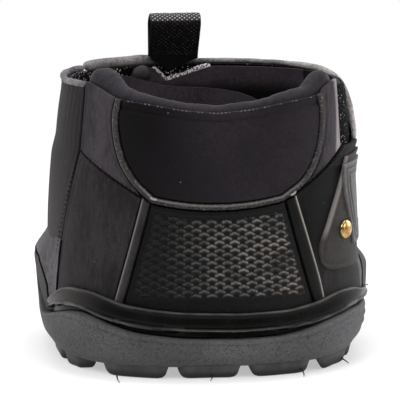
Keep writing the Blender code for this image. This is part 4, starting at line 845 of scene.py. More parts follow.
def sewn_relief(places, edge, across, up):
    """A sewn panel: swelling away from its border, pressed in along a row of stitches, gently uneven."""
    return (0.0003 * (1 - np.exp(-edge / 0.004)) - 0.00028 * bell(edge, 0.0022, 0.0005)
            + rolling(places, 0.018, 0.00020, 31, 1.6))


def front_rim(places, edge, across, up):
    """Rubbed pale along the right wing's upright front edge."""
    width = 0.0036 + 0.0024 * ease((0.118 - places[..., 1]) / 0.022)
    return 0.9 * ease((width - (across[:, -1:] - across)) / 0.0024) * (places[..., 0] > MIDDLE)


for side_name, mirrored, pad_edge in (("right", False, pad_right), ("left", True, left_edge)):
    side_hem = beside(np.vstack((pad_foot, pad_edge[1:])), -0.0036)
    tip_start = int(np.argmin(np.linalg.norm(side_hem - wing_tip, axis=1)))
    wing_side = np.vstack((wing_tip, side_hem[tip_start + 1:]))
    wing_head = np.vstack((wing_side[-1], collar_line(angle_of(wing_side[-1]) - HEEL, SIDE_HEAD, 9)[1:]))
    narrowed = np.array((0.0 if mirrored else math.radians(2.0) * ROLLED, 0.0))
    wing_front = strip(seam_head - narrowed, wing_head[-1] - narrowed)
    wing_top = np.vstack((wing_head[:-1] - narrowed * np.linspace(0, 1, 8)[:, None], wing_front[1]))
    fit(panel("wing_" + side_name, strip(wing_tip + up, wing_front[0] + up), wing_top, wing_side,
              wing_front, 0.0, LEATHER, 0.0007, sewn_relief, 0.0012, front_rim, mirrored),
        wing_leather, "smooth_leather", "boot_body", "wing_" + side_name)

# Quarters: grained leather below the wings, from the heel trims to the side seams; the right one runs on forwards
# under the overlay.
# The right quarter takes a darker copy of the leather, which darkens further upwards: painted shade, the overlay's
# shadow over it.
quarter_leather, quarter_shaded = (
    leather(name, dark, light, roughness=0.62, cells=820.0, depth=0.6, relief=0.00014, patches=110.0, streak=0.25,
            fade=fade)
    for name, dark, light, fade in (("quarter_leather", (28, 26, 27), (46, 43, 45), None),
                                    ("quarter_shaded", (26, 24, 24), (44, 42, 42), (2, 0.044, 0.060, 0.3))))
quarter_side = strip(leaning(TRIM_FOOT[1] + SEAM_TURN, TRIM_HEAD[1] + SEAM_TURN)[0], wing_tip - up)
for side_name, mirrored, front_foot, front_head in (("right", False, 76.0, 76.0), ("left", True, SIDE_FOOT, SIDE_HEAD)):
    head = strip(wing_tip - up, seam_head - up)
    front = flat(HEEL + front_head, head[-1][1])
    if front[0] > head[-1][0]:
        head = np.vstack((head, front))
    foot = foot_run(TRIM_FOOT[1] + SEAM_TURN, front_foot)
    fit(panel("quarter_" + side_name, foot, head, quarter_side, strip(foot[-1], head[-1]), 0.0, LEATHER, 0.0007,
              sewn_relief, 0.0012, mirrored=mirrored), quarter_leather if mirrored else quarter_shaded, "grained_leather",
        "boot_body", "quarter_" + side_name)

# Left vamp: the front left panel, one piece of smooth leather sewn to the wing and quarter behind it. It is
# creased where it bends, and darker towards its top.
VAMP_END, CLOSURE_FOOT = 120.0, 0.0523
LINING_OUT, PILE_OUT, RECESS_OUT = -0.0022, -0.0037, -0.0049
LINING, PILE, FLAP_SKIN = 0.0029, 0.0009, 0.0020
LINING_LAP = math.degrees(0.0016 / ROLLED)
LINER_END = 57.0
LINING_TURN = LINER_END + LINING_LAP
vamp_leather = leather("vamp_leather", (34, 31, 33), (58, 54, 56), roughness=0.64, relief=0.00009, patches=70.0,
                       specks=0.3, streak=0.4, fade=(2, 0.050, 0.105, 0.42))


def upright(start_foot, start_head, end, foot, drop):
    """The four seams of a patch from a leaning seam to an upright one, up to the collar line less a drop."""
    low = flat(HEEL + np.linspace(start_foot, end, 31), foot)
    top = collar_line(start_head, end, 31, drop)
    return low, top, np.stack((low[0], flat(HEEL + start_head, wing_height), top[0])), strip(low[-1], top[-1])


def creased_relief(places, edge, across, up):
    """The sewn panel with upright creases near its rear edge, faded out downwards."""
    lean = across + 0.0008 * np.sin(places[..., 1] / 0.006)
    creases = sum(bell(lean, c, 0.0010) for c in (0.0052, 0.0088, 0.0134))
    return sewn_relief(places, edge, across, up) - 0.0003 * creases * ease((places[..., 1] - 0.088) / 0.020)


fit(panel("left_vamp", *upright(SIDE_FOOT + SEAM_TURN, SIDE_HEAD + SEAM_TURN, VAMP_END - SEAM_TURN, FOOT, 0.0024),
          0.0, LEATHER, 0.0007, creased_relief, 0.0012, mirrored=True),
    vamp_leather, "smooth_leather", "boot_body", "left_vamp")

# Pile: black loop cloth for the closure, glued and sewn to the leather. It lines the left vamp, faces both
# flaps and covers the field on the right, which is speckled with pale loops.
pile_cloth, shader, place = finish("pile_cloth", tone(20, 18, 20), 0.95, 0.04, sheen=0.02)
loops = add(place, "TexVoronoi", {"Vector": place, "Scale": 900.0})
# Towards the right the cloth is darkened as painted shade, and its pale loops grow sparser.
shade_and_sparse_loops_rightwards = ramp(part(place, 0), -0.045, 0.058, 0.10, -0.24)
lots = add(loops, "SeparateColor", {0: loops.outputs["Color"]}).outputs
kept = ramp(reckon("ADD", lots[0], shade_and_sparse_loops_rightwards), 0.50, 0.56)
speck = reckon("MULTIPLY", ramp(loops.outputs["Distance"], 0.46, 0.20), kept)
cloth_tone_shaded_right = mixed(ramp(shade_and_sparse_loops_rightwards, 0.0, -0.2), tone(10, 9, 10), tone(3, 3, 3))
paint(shader, mixed(speck, cloth_tone_shaded_right, mixed(lots[1], tone(70, 66, 68), tone(200, 196, 198))),
      normal=bump(ramp(loops.outputs["Distance"], 0.6, 0.0), 0.0005, 1.0))


def pile_relief(places, edge, across, up):
    """Uneven tufts of the loops."""
    return rolling(places, 0.0012, 0.00012, 41) + rolling(places, 0.005, 0.00008, 42)


fit(panel("left_vamp_pile", *upright(LINING_TURN, LINING_TURN, VAMP_END - LINING_LAP, FOOT, 0.0024),
          LINING_OUT, LINING, 0.0006, pile_relief, 0.0012, mirrored=True),
    pile_cloth, "loop_pile", "boot_body", "left_vamp_pile")
fit(panel("right_loop_field", *upright(SIDE_HEAD + 0.6, SIDE_HEAD + 0.6, VAMP_END - 2 * SEAM_TURN, CLOSURE_FOOT,
                                       0.0039), PILE_OUT, PILE, 0.0003, pile_relief, 0.0010),
    pile_cloth, "loop_pile", "boot_body", "right_loop_field")

# Left vamp binding: lilac-grey tape folded over the top edge of the vamp and its pile, and sewn through; it is
# drawn as a round bead.
pale_tape = leather("pale_tape", (66, 62, 66), (134, 129, 134), specks=0.2, specular=0.25)
UPRIGHT = np.array((0.0, 0.0, 1.0))


def sweep(name, centre, radius, uneven=0.0, seed=0, around=14, flatten=1.0, tall=1.0):
    """A round piece along points: rings square to the run, drawn in to a round at both ends."""
    run = unit(np.gradient(centre, axis=0))
    side = unit(np.cross(run, UPRIGHT))
    rise = np.cross(side, run)
    reached = reach_of(centre)
    size = np.broadcast_to(radius, reached.shape)
    tip = np.clip(np.minimum(reached, reached[-1] - reached) / size, 0.0, 1.0)
    size = size * np.sqrt(np.clip(1 - (1 - tip) ** 2, 0.02, 1.0))
    turn = np.linspace(0, 2 * np.pi, around, endpoint=False)
    bumps = 1 + uneven * noise(reached[:, None] / 0.006, np.cos(turn)[None, :] * 1.3 + 5, seed)
    rings = centre[:, None] + (size[:, None] * bumps)[..., None] * (
        flatten * np.cos(turn)[None, :, None] * side[:, None] + tall * np.sin(turn)[None, :, None] * rise[:, None])
    uv = np.stack(np.broadcast_arrays(reached[:, None], turn[None, :] * 0.003), -1)
    return tube_piece(name, rings, uv)


def run_shares(length, step, tip):
    """Shares of a run with close steps within its two round tips."""
    near = tip * (1 - np.cos(np.linspace(0, np.pi / 2, 6)))
    middle = np.linspace(near[-1], length - near[-1], int((length - 2 * near[-1]) / step) + 2)[1:-1]
    return np.concatenate((near, middle, length - near[::-1])) / length


binding_turns = VAMP_END - SEAM_TURN + run_shares(0.074, 0.0008, 0.0015) * (
    SIDE_HEAD + 2 * SEAM_TURN - VAMP_END + SEAM_TURN)
fit(sweep("left_vamp_binding", upper_skin(HEEL - binding_turns, collar_height(binding_turns) - 0.0015, -0.0009),
          0.0015, 0.10, 51), pale_tape, "trim_binding", "boot_body", "left_vamp_binding")

# Collar roll: soft leather stuffed with foam inside the top edge behind, fatter towards both ends, with small
# creases across it.
roll_leather = leather("roll_leather", (32, 28, 34), (46, 41, 48), roughness=0.5, cells=1100.0, patches=40.0,
                       specks=0.6, specular=0.14)
roll_turns = -61.0 + 117.0 * run_shares(0.118, 0.0007, 0.005)
roll_size = 0.0040 * (1 + 0.45 * (np.abs(roll_turns) / 56) ** 3) + 0.0013 * ease((-roll_turns - 30) / 22)
pucker = 1 + 0.030 * noise(roll_turns / 2.2, 0 * roll_turns, 61) + 0.020 * noise(roll_turns / 0.9, 0 * roll_turns, 62)
roll_height = collar_height(roll_turns) - 0.0016 * (1 - (roll_turns / 56) ** 2) - 0.0006 * ease((-roll_turns - 40) / 15)
collar_roll = sweep("collar_roll", upper_skin(HEEL + roll_turns, roll_height, -(0.0022 + roll_size)),
                    roll_size * pucker, 0.07, 63, 28)
fit(collar_roll, roll_leather, "collar_leather", "boot_body", "collar_roll")

# Heel liner: padded lining cloth behind, from the footbed up to the roll, sewn in along its head. Only its
# edge is seen.
lining_cloth = leather("lining_cloth", (34, 30, 34), (50, 45, 50), roughness=0.8, cells=2200.0, depth=0.6, patches=50.0)
fit(panel("heel_liner", *ruled(foot_run(-LINER_END, LINER_END), collar_line(-LINER_END, LINER_END, 61, 0.0062)),
          LINING_OUT, 0.0035, 0.0008,
          lambda places, *rest: rolling(places, 0.02, 0.0001, 71), 0.0018),
    lining_cloth, "lining_cloth", "boot_body", "heel_liner")

# Right vamp: a dark leather panel on the right, set back to leave room for the closure. The toe box, of the
# same leather, and its cloth lining stand behind the cup's wall and are glued into it.
dark_leather = leather("dark_leather", (26, 24, 25), (40, 37, 39), roughness=0.66, depth=0.6, relief=0.0001,
                       patches=40.0, specks=0.3, specular=0.1)
fit(panel("right_vamp", *upright(LINING_TURN, LINING_TURN, VAMP_END - SEAM_TURN, FOOT, 0.0034), RECESS_OUT, FLAP_SKIN,
          0.0006, None, 0.0018), dark_leather, "grained_leather", "boot_body", "right_vamp")
FLAP_ROOT, TOE_TOP = 150.0, 0.0515


def level(start, end, foot, head):
    """The four seams of a patch between two angles and two heights."""
    angles = np.linspace(start, end, 61)
    return ruled(flat(angles, foot), flat(angles, head))


fit(panel("toe_box", *level(-14 + SEAM_TURN, FLAP_ROOT - SEAM_TURN, FOOT, TOE_TOP), 0.0, LEATHER, 0.0006,
          sewn_relief, 0.0018), dark_leather, "grained_leather", "boot_body", "toe_box")
fit(panel("toe_lining", *level(31.4, 148.6, FOOT, TOE_TOP), LINING_OUT, LINING, 0.0006, None, 0.0020),
    lining_cloth, "lining_cloth", "boot_body", "toe_lining")

# Outer flap: grained leather hinged on the left, with pile sewn to its inner face. It wraps the toe and closes
# on the right; a pale tape is folded over its top edge.
flap_leather = leather("flap_leather", (40, 37, 39), (58, 54, 56), roughness=0.62, cells=850.0, depth=0.6,
                       relief=0.00012, patches=34.0, specks=0.3)
FLAP_END = -12.0


def flap_head(drop=0.0):
    """The flap's top edge, which falls away towards its end on the right side."""
    rises = np.array((0.0, 0.33, 0.66, 0.90, 0.985, 1.0, 0.965))
    angles = np.array((FLAP_END, -4.0, 6.0, 18.0, 40.0, 90.0, FLAP_ROOT - SEAM_TURN))
    return rounded(flat(angles, 0.0890 + 0.0335 * rises - drop), 10)


def flap_outline(inset, drop):
    """The flap's four seams, drawn in at its end and lowered at its head."""
    head = flap_head(drop)
    foot = flat(np.linspace(FLAP_END, FLAP_ROOT - SEAM_TURN, 91), CLOSURE_FOOT)
    head[0, 0] += inset
    foot[0, 0] += inset
    return ruled(foot, head)


fit(panel("outer_flap", *flap_outline(0.0, 0.0), 0.0, FLAP_SKIN, 0.0007, sewn_relief, 0.0015),
    flap_leather, "grained_leather", "outer_closure", "outer_flap")
fit(panel("outer_flap_pile", *flap_outline(0.0010, 0.0005), -0.0024, PILE, 0.0003, pile_relief, 0.0015),
    pile_cloth, "loop_pile", "outer_closure", "outer_flap_pile")
binding_shares = 1 / 30 + 29 / 30 * run_shares(0.185, 0.0012, 0.0015)
standing = 0.0009 + 0.0014 * ease((angle_of(flap_head()) - 106) / 10)
flap_edge = along(beside(flap_head(), standing[:, None]), binding_shares)
flap_tape = leather("flap_tape", (112, 108, 108), (178, 173, 172), specks=0.2, specular=0.25,
                    fade=(0, 0.044, 0.004, 0.60))
binding_size = 0.0011 + 0.0013 * ease((binding_shares - 0.725) / 0.075) + 0.0006 * ease((0.40 - binding_shares) / 0.16)
binding_size = binding_size * (0.45 + 0.55 * ease(binding_shares / 0.10))
fit(sweep("outer_flap_binding", on_skin(flap_edge, -0.0010), binding_size, 0.10, 81),
    flap_tape, "trim_binding", "outer_closure", "outer_flap_binding")

# Inner flap: lining cloth hinged on the right under the outer flap, with pile sewn to its outer face and a
# notch for the loop's tail.
# Painted shade: the lining is lit along its top and fades to near black below it.
inner_lining = leather("inner_lining", (52, 46, 51), (70, 63, 69), roughness=0.8, cells=2200.0, depth=0.6, patches=50.0,
                       fade=(2, 0.1165, 0.1085, 0.10))


def inner_outline(start, end, drop):
    """The inner flap's four seams."""
    angles = np.linspace(start, end, 91)
    notch = np.interp(angles, (80.0, 104.5, 113.0), (0.0, 1.0, 0.0))
    return ruled(flat(angles, CLOSURE_FOOT), flat(angles, 0.1213 - drop - 0.0070 * notch))


INNER_ROOT, INNER_END = 30.0, 118.0
fit(panel("inner_flap_right", *inner_outline(INNER_ROOT + SEAM_TURN, INNER_END, 0.0), RECESS_OUT, FLAP_SKIN, 0.0007,
          lambda places, *rest: rolling(places, 0.02, 0.0001, 91), 0.0016),
    inner_lining, "lining_cloth", "inner_closure", "inner_flap_right")
fit(panel("inner_flap_pile", *inner_outline(INNER_ROOT + 2 * SEAM_TURN, INNER_END - SEAM_TURN, SEAM), PILE_OUT,
          PILE, 0.0003, pile_relief, 0.0014), pile_cloth, "loop_pile", "inner_closure", "inner_flap_pile")

# The inner flap's pile stands up as a pale fuzzy fringe along its cut head.
fringe_cloth, shader, place = finish("fringe_cloth", tone(90, 86, 88), 0.95, 0.1)
paint(shader, mixed(ramp(flecked(place, 1500.0), 0.42, 0.58), tone(40, 37, 38), tone(190, 184, 186)))
fringe = along(inner_outline(80.0, 112.6, 0.0002)[1], run_shares(0.038, 0.0005, 0.0008))
fit(sweep("inner_flap_fringe", on_skin(fringe, PILE_OUT - 0.0006), 0.0018, 0.35, 96, flatten=0.7),
    fringe_cloth, "loop_pile", "inner_closure")

# The inner flap's free end is folded over into a soft round cushion.
# Painted shade: the cushion's leather darkens below its lit top.
cushion_leather = leather("cushion_leather", (50, 45, 49), (72, 66, 70), cells=1200.0, relief=0.00006, patches=36.0,
                          specular=0.1, fade=(2, 0.1212, 0.1150, 0.22))
cushion_height = np.linspace(0.1125, 0.1224, 18)
cushion = sweep("inner_flap_cushion", upper_skin(118.8, cushion_height, -0.0062), 0.0050, 0.04, 98, 28, flatten=0.98,
                tall=0.55)
fit(cushion, cushion_leather, "lining_cloth", "inner_closure")

# Tongue: soft leather over foam, hinged on the left, innermost of the three flaps. Its head slopes down to the
# right and has a welt of stitches under it.
tongue_leather = leather("tongue_leather", (52, 46, 52), (72, 65, 72), cells=1200.0, relief=0.00006, patches=36.0,
                         specular=0.1)
tongue_angles = np.linspace(50.0, FLAP_ROOT - 2 * SEAM_TURN, 67)
tongue_head = flat(tongue_angles, np.interp(
    tongue_angles, (50, 53, 58, 65, 74, 84, 98, 106, 116, 124, 136, 150),
    (0.1008, 0.1040, 0.1068, 0.1090, 0.1104, 0.1113, 0.1119, 0.1127, 0.1150, 0.1172, 0.1194, 0.1200)))


def tongue_relief(places, edge, across, up):
    """A welt of stitches under the head, and two soft folds where its end bends down."""
    angle = angle_of(places)
    above = places[..., 1] - 0.105
    folds = bell(angle - above * 900, 74, 1.2) + bell(angle - above * 500, 68, 1.0)
    return (rolling(places, 0.015, 0.00010, 95) - 0.0005 * bell(up[-1:] - up, 0.0042, 0.0004)
            - 0.0006 * folds * ease((places[..., 1] - 0.095) / 0.006))


tongue = panel("tongue", *ruled(flat(tongue_angles, CLOSURE_FOOT), tongue_head), -0.0073, 0.0034, 0.0014,
               tongue_relief, 0.0010)
fit(tongue, tongue_leather, "lining_cloth", "tongue_closure", "tongue")

# End tab: a moulded rubber tab sewn on the flap's end at the right side, to pull the closure open by, with
# nested raised outlines.
TAB_GROOVES = (0.0022, 0.0046)
# Its mark tone is the painted shade in the tab's grooves.
tab_rubber = leather("tab_rubber", (66, 62, 63), (94, 90, 90), roughness=0.5, cells=1100.0, depth=0.4, relief=0.00006,
                     specks=0.3, specular=0.3, mark_tone=(16, 14, 15))


def tab_place(angle, share_up):
    """A place on the end tab, by its angle and a share of its height."""
    return flat(angle, 0.0528 + np.asarray(share_up) * 0.0357)


def tab_relief(places, edge, across, up):
    """Nested steps along the tab's outline, and its step down from the overlay on to the flap."""
    down = ease((angle_of(places) - 344.7) / 4.3)
    grooves = sum(bell(edge, groove, 0.0004) for groove in TAB_GROOVES)
    return -0.0004 * grooves - 0.0003 * ease((edge - 0.0068) / 0.0006) - 0.0017 * down


def tab_groove_shade(places, edge, across, up):
    """Painted shade in both grooves that follow the tab's outline."""
    return sum(bell(edge, groove, 0.00045) for groove in TAB_GROOVES)


tab_rear = rounded(tab_place(np.array((326.0, 325.2, 323.0, 322.0, 322.4)), (0.0, 0.20, 0.50, 0.75, 1.0)), 8)
tab_front = tab_place(np.array((358.0, 358.0)), (0.0, 1.0))
fit(panel("flap_end_tab", strip(tab_rear[0], tab_front[0]), strip(tab_rear[-1], tab_front[-1]), tab_rear, tab_front,
          0.0027, 0.0011, 0.0006, tab_relief, 0.0004, tab_groove_shade),
    tab_rubber, "rand_rubber", "outer_closure", "flap_end_tab")

# Side overlay: a pointed piece of smooth leather over the right quarter, held by the rivet. Its rear edge is
# rubbed pale.
overlay_leather = leather("overlay_leather", (44, 41, 40), (60, 56, 54), roughness=0.55, cells=1100.0, depth=0.4,
                          relief=0.00006, patches=40.0, specks=0.3, mark_tone=(120, 115, 112))
OVERLAY_FOOT, OVERLAY_RISE, OVERLAY_END = 0.0432, 0.0480, 346 - SEAM_TURN
overlay_rear, overlay_foot = (rounded(flat(np.array(angles), OVERLAY_FOOT + OVERLAY_RISE * np.array(rises)), 6)
                              for angles, rises in (
    ((308.8, 308.8, 312.6, 317.8, 326.0), (0.08, 0.24, 0.42, 0.66, 1.0)),
    ((308.8, 311.5, 317.0, 330.0, OVERLAY_END), (0.08, 0.02, 0.0, 0.0, 0.0))))
overlay_front = strip(overlay_foot[-1], flat(OVERLAY_END, 0.0920))


def rear_rim(places, edge, across, up):
    """Rubbed pale along the overlay's rear edge, above its rounded corner."""
    return 0.7 * ease((0.0026 - across) / 0.0014) * ease((places[..., 1] - 0.056) / 0.006)


fit(panel("side_overlay", overlay_foot, strip(overlay_rear[-1], overlay_front[-1]), overlay_rear, overlay_front,
          0.0015, 0.0012, 0.0006, sewn_relief, 0.0009, rear_rim),
    overlay_leather, "smooth_leather", "boot_body", "side_overlay")

# Rivet: a domed head of turned brass at the overlay's rear corner. Its shank goes through the upper and is
# closed on a burr inside.
brass, shader, place = finish("brass", tone(190, 150, 92), 0.24, 0.5, 1.0)
scuff = use(cloud, place, Patches=400.0, Flecks=2500.0, Share=0.4)["Value"]
paint(shader, mixed(ramp(scuff, 0.35, 0.65), tone(150, 108, 52), tone(216, 186, 130)),
      ramp(scuff, 0.3, 0.7, 0.18, 0.36))
RIVET_ANGLE, RIVET_HEIGHT = 321.6, 0.0600
seat = upper_skin(RIVET_ANGLE, RIVET_HEIGHT, 0.0016)
rivet_out = unit(upper_skin(RIVET_ANGLE, RIVET_HEIGHT, 0.0060) - seat)
rivet_side = np.cross(UPRIGHT, rivet_out)
rivet_rise = np.cross(rivet_out, rivet_side)


def turned(name, radius, height):
    """A profile of radii and heights turned round the rivet's axis."""
    turn = np.linspace(0, 2 * np.pi, 40, endpoint=False)
    radius, height = np.asarray(radius)[:, None, None], np.asarray(height)[:, None, None]
    spoke = np.cos(turn)[None, :, None] * rivet_side + np.sin(turn)[None, :, None] * rivet_rise
    return tube_piece(name, seat + radius * spoke + height * rivet_out)


dome = np.linspace(np.pi / 2, 0.0, 12)
fit(turned("rivet", np.concatenate(((0.00002,), 0.0042 * np.cos(dome[1:]), (0.0040, 0.0014, 0.0014, 0.00002))),
           np.concatenate(((0.0022,), 0.0003 + 0.0019 * np.sin(dome[1:]), (0.0001, 0.0001, -0.0052, -0.0052)))),
    brass, "brass", "boot_body", "rivet")
fit(turned("rivet_burr", (0.0015, 0.0029, 0.0029, 0.0015), (-0.0045, -0.0045, -0.0052, -0.0052)),
    brass, "brass", "boot_body", "rivet_burr")

# Pull loop: black ribbed webbing folded over and standing on the outer flap's head. Its pointed tail is sewn
# to the flap's inner face.
webbing, shader, place = finish("webbing", tone(20, 18, 19), 0.9, 0.12)
web_place = add(shader, "UVMap").outputs[0]
down_web, across_web = (reckon("SINE", reckon("MULTIPLY", part(web_place, axis), 2 * math.pi / rib))
                        for axis, rib in ((0, 0.0018), (1, 0.0023)))
weave = reckon("MULTIPLY", down_web, across_web)
# Painted light: glints on the ribs, scattered by a noise, and pale lit ribs along the loop's top.
glint_scatter = flecked(place, 700.0)
glint = reckon("MULTIPLY", ramp(weave, 0.45, 0.95), ramp(glint_scatter, 0.42, 0.60))
inside_selvage = ramp(reckon("ABSOLUTE", part(web_place, 1)), 0.0096, 0.0104, 1.0, 0.0)
glint = reckon("MULTIPLY", glint, inside_selvage)
lit_top = ramp(part(place, 2), 0.1428, 0.1440)
plain = mixed(glint, tone(12, 10, 11), tone(70, 65, 67))
lit_ribs = mixed(ramp(weave, 0.2, 0.9), tone(56, 53, 54), tone(172, 168, 170))
paint(shader, mixed(lit_top, plain, lit_ribs), normal=bump(weave, 0.00018, 0.9))
LOOP_OUT, LOOP_ANGLE, FOLD_HEIGHT = PILE_OUT - 0.00065, 99.5, 0.1264
CROWN_RADIUS, CROWN_HEIGHT = 0.00485, 0.0145
fold = upper_skin(LOOP_ANGLE, FOLD_HEIGHT, LOOP_OUT)
fold_out = unit(upper_skin(LOOP_ANGLE, FOLD_HEIGHT, LOOP_OUT + 0.011) - fold)
fold_run = np.cross(UPRIGHT, fold_out)


def arc_of(radius, middle, start, end, pieces):
    """Points of an arc seen from the loop's edge, round a point above the fold line."""
    turn = np.linspace(start, end, pieces)
    return np.stack((radius * np.cos(turn), middle + radius * np.sin(turn)), -1)


FOOT_RADIUS, LEG_FOOT = 0.00045, 0.0014
crown = arc_of(CROWN_RADIUS, CROWN_HEIGHT, 0.0, np.pi, 29)
down = np.linspace(0, 1, 12)[1:, None]
out_foot, in_foot = np.array((FOOT_RADIUS, LEG_FOOT)), np.array((-FOOT_RADIUS, LEG_FOOT))
centre_line = np.concatenate((out_foot + (crown[0] - out_foot) * (1 - down[::-1]), crown,
                              crown[-1] + (in_foot - crown[-1]) * down,
                              arc_of(FOOT_RADIUS, 0.0006, np.pi, 2 * np.pi, 9)))
reached = reach_of(centre_line)
run = unit(np.roll(centre_line, -1, 0) - np.roll(centre_line, 1, 0))
normal = np.column_stack((run[:, 1], -run[:, 0]))
WEB_HALF, WEB_THICKNESS, WEB_SHIFT, WEB_LEAN = 0.01225, 0.00124, 0.0016, -0.045
selvages = np.array((0.0116, 0.0120, 0.0122, WEB_HALF))
across = 0.962 * np.concatenate((-selvages[::-1], np.linspace(-0.0112, 0.0112, 37), selvages))
half = WEB_THICKNESS / 2 * np.sqrt(np.clip(1 - np.clip((np.abs(across) - 0.0111) / 0.00070, 0, 1) ** 2, 0.01, 1))
fray = 0.00012 * noise(reached[:, None] / 0.0012, across[None, :] / 0.0012, 101)


def web_grid(side):
    """Grid of one face of the webbing: the centre line moved to a side by half its thickness."""
    lift = side * half[None, :] + fray * side
    flat_place = centre_line[:, None] + normal[:, None] * lift[..., None]
    sideways = across[None, :, None] + WEB_SHIFT + WEB_LEAN * flat_place[..., 1:]
    return fold + flat_place[..., :1] * fold_out + sideways * fold_run + flat_place[..., 1:] * UPRIGHT


outer_web, inner_web = web_grid(1), web_grid(-1)
count, wide = outer_web.shape[:2]
profile = np.concatenate((outer_web, inner_web[:, ::-1]), 1)
web_uv = np.stack(np.broadcast_arrays(reached[:, None], np.concatenate((across, across[::-1]))[None, :]), -1)
fit(make_piece("pull_loop", profile, grid_quads(count, 2 * wide, True, True), (), web_uv),
    webbing, "black_webbing", "loop_body", "pull_loop")

TAIL_ANGLE, TAIL_POINT, TAIL_TOP = 100.7, 103.2, FOLD_HEIGHT + 0.0003
tail_half = math.degrees(WEB_HALF / ROLLED) * 1.25
tail_head = flat(TAIL_ANGLE + tail_half * np.array((-1.0, 0.0, 1.0)), TAIL_TOP)
tail_foot = flat(np.array((TAIL_ANGLE - tail_half, TAIL_POINT, TAIL_ANGLE + tail_half)),
                 TAIL_TOP - 0.0075 * np.array((0.2, 1.0, 0.2)))
fit(panel("pull_loop_tail", *ruled(tail_foot, tail_head), PILE_OUT, 0.0013, 0.0004, None, 0.0006),
    webbing, "black_webbing", "outer_closure", "pull_loop_tail")

# Footbed: a pad of dark foam on a board of pressed fibre. Both lie loose down in the cup, out of sight but
# from above.
foam = leather("foam", (44, 42, 44), (58, 56, 58), roughness=0.85, cells=1600.0, depth=0.6, relief=0.0001, patches=40.0,
               specks=0.2, specular=0.15)
board = leather("board", (118, 100, 76), (140, 120, 92), roughness=0.9, cells=700.0, depth=0.4, relief=0.0001,
                specks=0.1, specular=0.15)
ring = np.linspace(0, 360, 144, endpoint=False)
outline = upper_skin(ring, LEDGE, -0.0076)
for name, base, thickness, material, slot in (("insole_board", 0.0113, 0.0015, board, "insole_board"),
                                              ("footbed", 0.0131, 0.0055, foam, "footbed_foam")):
    soft_edge = min(0.0012, thickness * 0.4)
    arc = np.linspace(0, np.pi / 2, 5)
    low, high = soft_edge * (1 - np.cos(arc)), soft_edge * (1 - np.sin(arc))
    level_up = np.concatenate((base + low, base + thickness - high))[:, None]
    grown = 1 - np.concatenate((high, low))[:, None] / 0.065
    rings = np.stack((outline[:, 0] * grown, outline[:, 1] * grown, level_up + 0 * ring), -1)
    rings = np.concatenate((rings[:1] * drawn_in, rings, rings[-1:] * (0.9, 0.9, 1), rings[-1:] * drawn_in))
    fit(tube_piece(name, rings), material, slot, "boot_body", name)

# Wall fairings: at both sides the leather flares out over the cup's wall, glued down on it, and the wall's
# rubber end wraps its edge behind a dark line.
fairing_skin = leather("fairing_skin", (66, 63, 66), (102, 98, 102), relief=0.00009, patches=70.0, specks=0.3,
                       mark_tone=(66, 64, 65), streak=0.4, fade=(2, 0.040, 0.0545, 0.66))
# The dark line at the wall's end and the left seam's dark line are near-black cords: painted shadow in the gap and in
# the seam.
fairing_gap_shadow = finish("fairing_gap_shadow", tone(9, 9, 9), 0.8, 0.05)[0]
for side_name, sideways, rear_foot, rear_top, end_turn, full, top, line_turns, line_heights in (
        ("left", -1, 70.0, 64.8, 116.0, 0.0064, 0.0550, (75.2, 76.6, 76.8, 76.8, 77.8, 79.4, 82.0, 93.0, 110.0),
         (0.0224, 0.0247, 0.0279, 0.0317, 0.0346, 0.0384, 0.0436, 0.0455, 0.0460)),
        ("right", 1, 66.0, 66.0, 104.0, 0.0044, 0.0500, (72.0, 72.3, 72.6, 73.0, 74.2, 78.0, 84.0, 95.0),
         (0.0224, 0.0280, 0.0330, 0.0380, 0.0410, 0.0445, 0.0460, 0.0470))):

    def flared(turn, rise, rear):
        """How far the leather flares out: full below, eased away towards its top, its rear and its end."""
        return full * ease((top - rise) / 0.0135) * ease((turn - rear) / 22.0) * ease((end_turn + 2 - turn) / 12.0)

    height_share = np.linspace(0, 1, 40)[:, None]
    rear = rear_foot + (rear_top - rear_foot) * height_share
    turn = rear + (end_turn - rear) * np.linspace(0, 1, 90)[None, :]
    angle = HEEL + sideways * turn
    foot = np.minimum(cup_height(angle) + 0.0006, 0.0475)
    rise = foot + (top - foot) * height_share
    over = np.interp(rise, line_heights, line_turns) - turn
    lifted = 0.0003 + flared(turn, rise, rear) - 0.0006 * bell(over, 0, 0.5)
    edge = np.minimum(height_share, 1 - height_share) * 0.03 + 0 * turn
    mark = ease((-over - 0.3) / 0.5)
    fit(shell_piece("wall_fairing_" + side_name, upper_skin(angle, rise, lifted), upper_skin(angle, rise, -0.0006),
                    np.stack((turn / 1000, rise), -1), edge, mark), fairing_skin, "sole_rubber", "boot_body")
    line_rise = line_heights[0] + (line_heights[-1] - line_heights[0]) * np.linspace(0.03, 0.97, 60)
    line_turn = np.interp(line_rise, line_heights, line_turns)
    line_out = flared(line_turn, line_rise, np.interp(line_rise, (0.02, top), (rear_foot, rear_top)))
    fit(sweep("fairing_line_" + side_name, upper_skin(HEEL + sideways * line_turn, line_rise, line_out), 0.0006, 0.2,
              120, 8), fairing_gap_shadow, "sole_rubber", "boot_body")
    if sideways < 0:
        seam_rise = np.linspace(0.0250, top, 60)
        seam_turn = rear_foot + (rear_top - rear_foot) * (seam_rise - 0.025) / (top - 0.025) - 0.2
        fit(sweep("fairing_seam", upper_skin(HEEL - seam_turn, seam_rise, 0.0002), 0.00055, 0.2, 121, 8), fairing_gap_shadow,
            "sole_rubber", "boot_body")

# Stitches: waxed thread, each stitch a short round run that stands a little over the leather between two holes. Two
# pale ones close the corners where the heel trims meet the collar binding.
dark_thread = finish("dark_thread", tone(14, 13, 13), 0.6, 0.1)[0]
pale_thread = finish("pale_thread", tone(140, 135, 134), 0.7, 0.1)[0]
collar_thread, shader, place = finish("collar_thread", tone(84, 79, 82), 0.7, 0.1)
paint(shader, mixed(ramp(flecked(place, 260.0), 0.42, 0.58), tone(34, 31, 33), tone(120, 114, 117)))


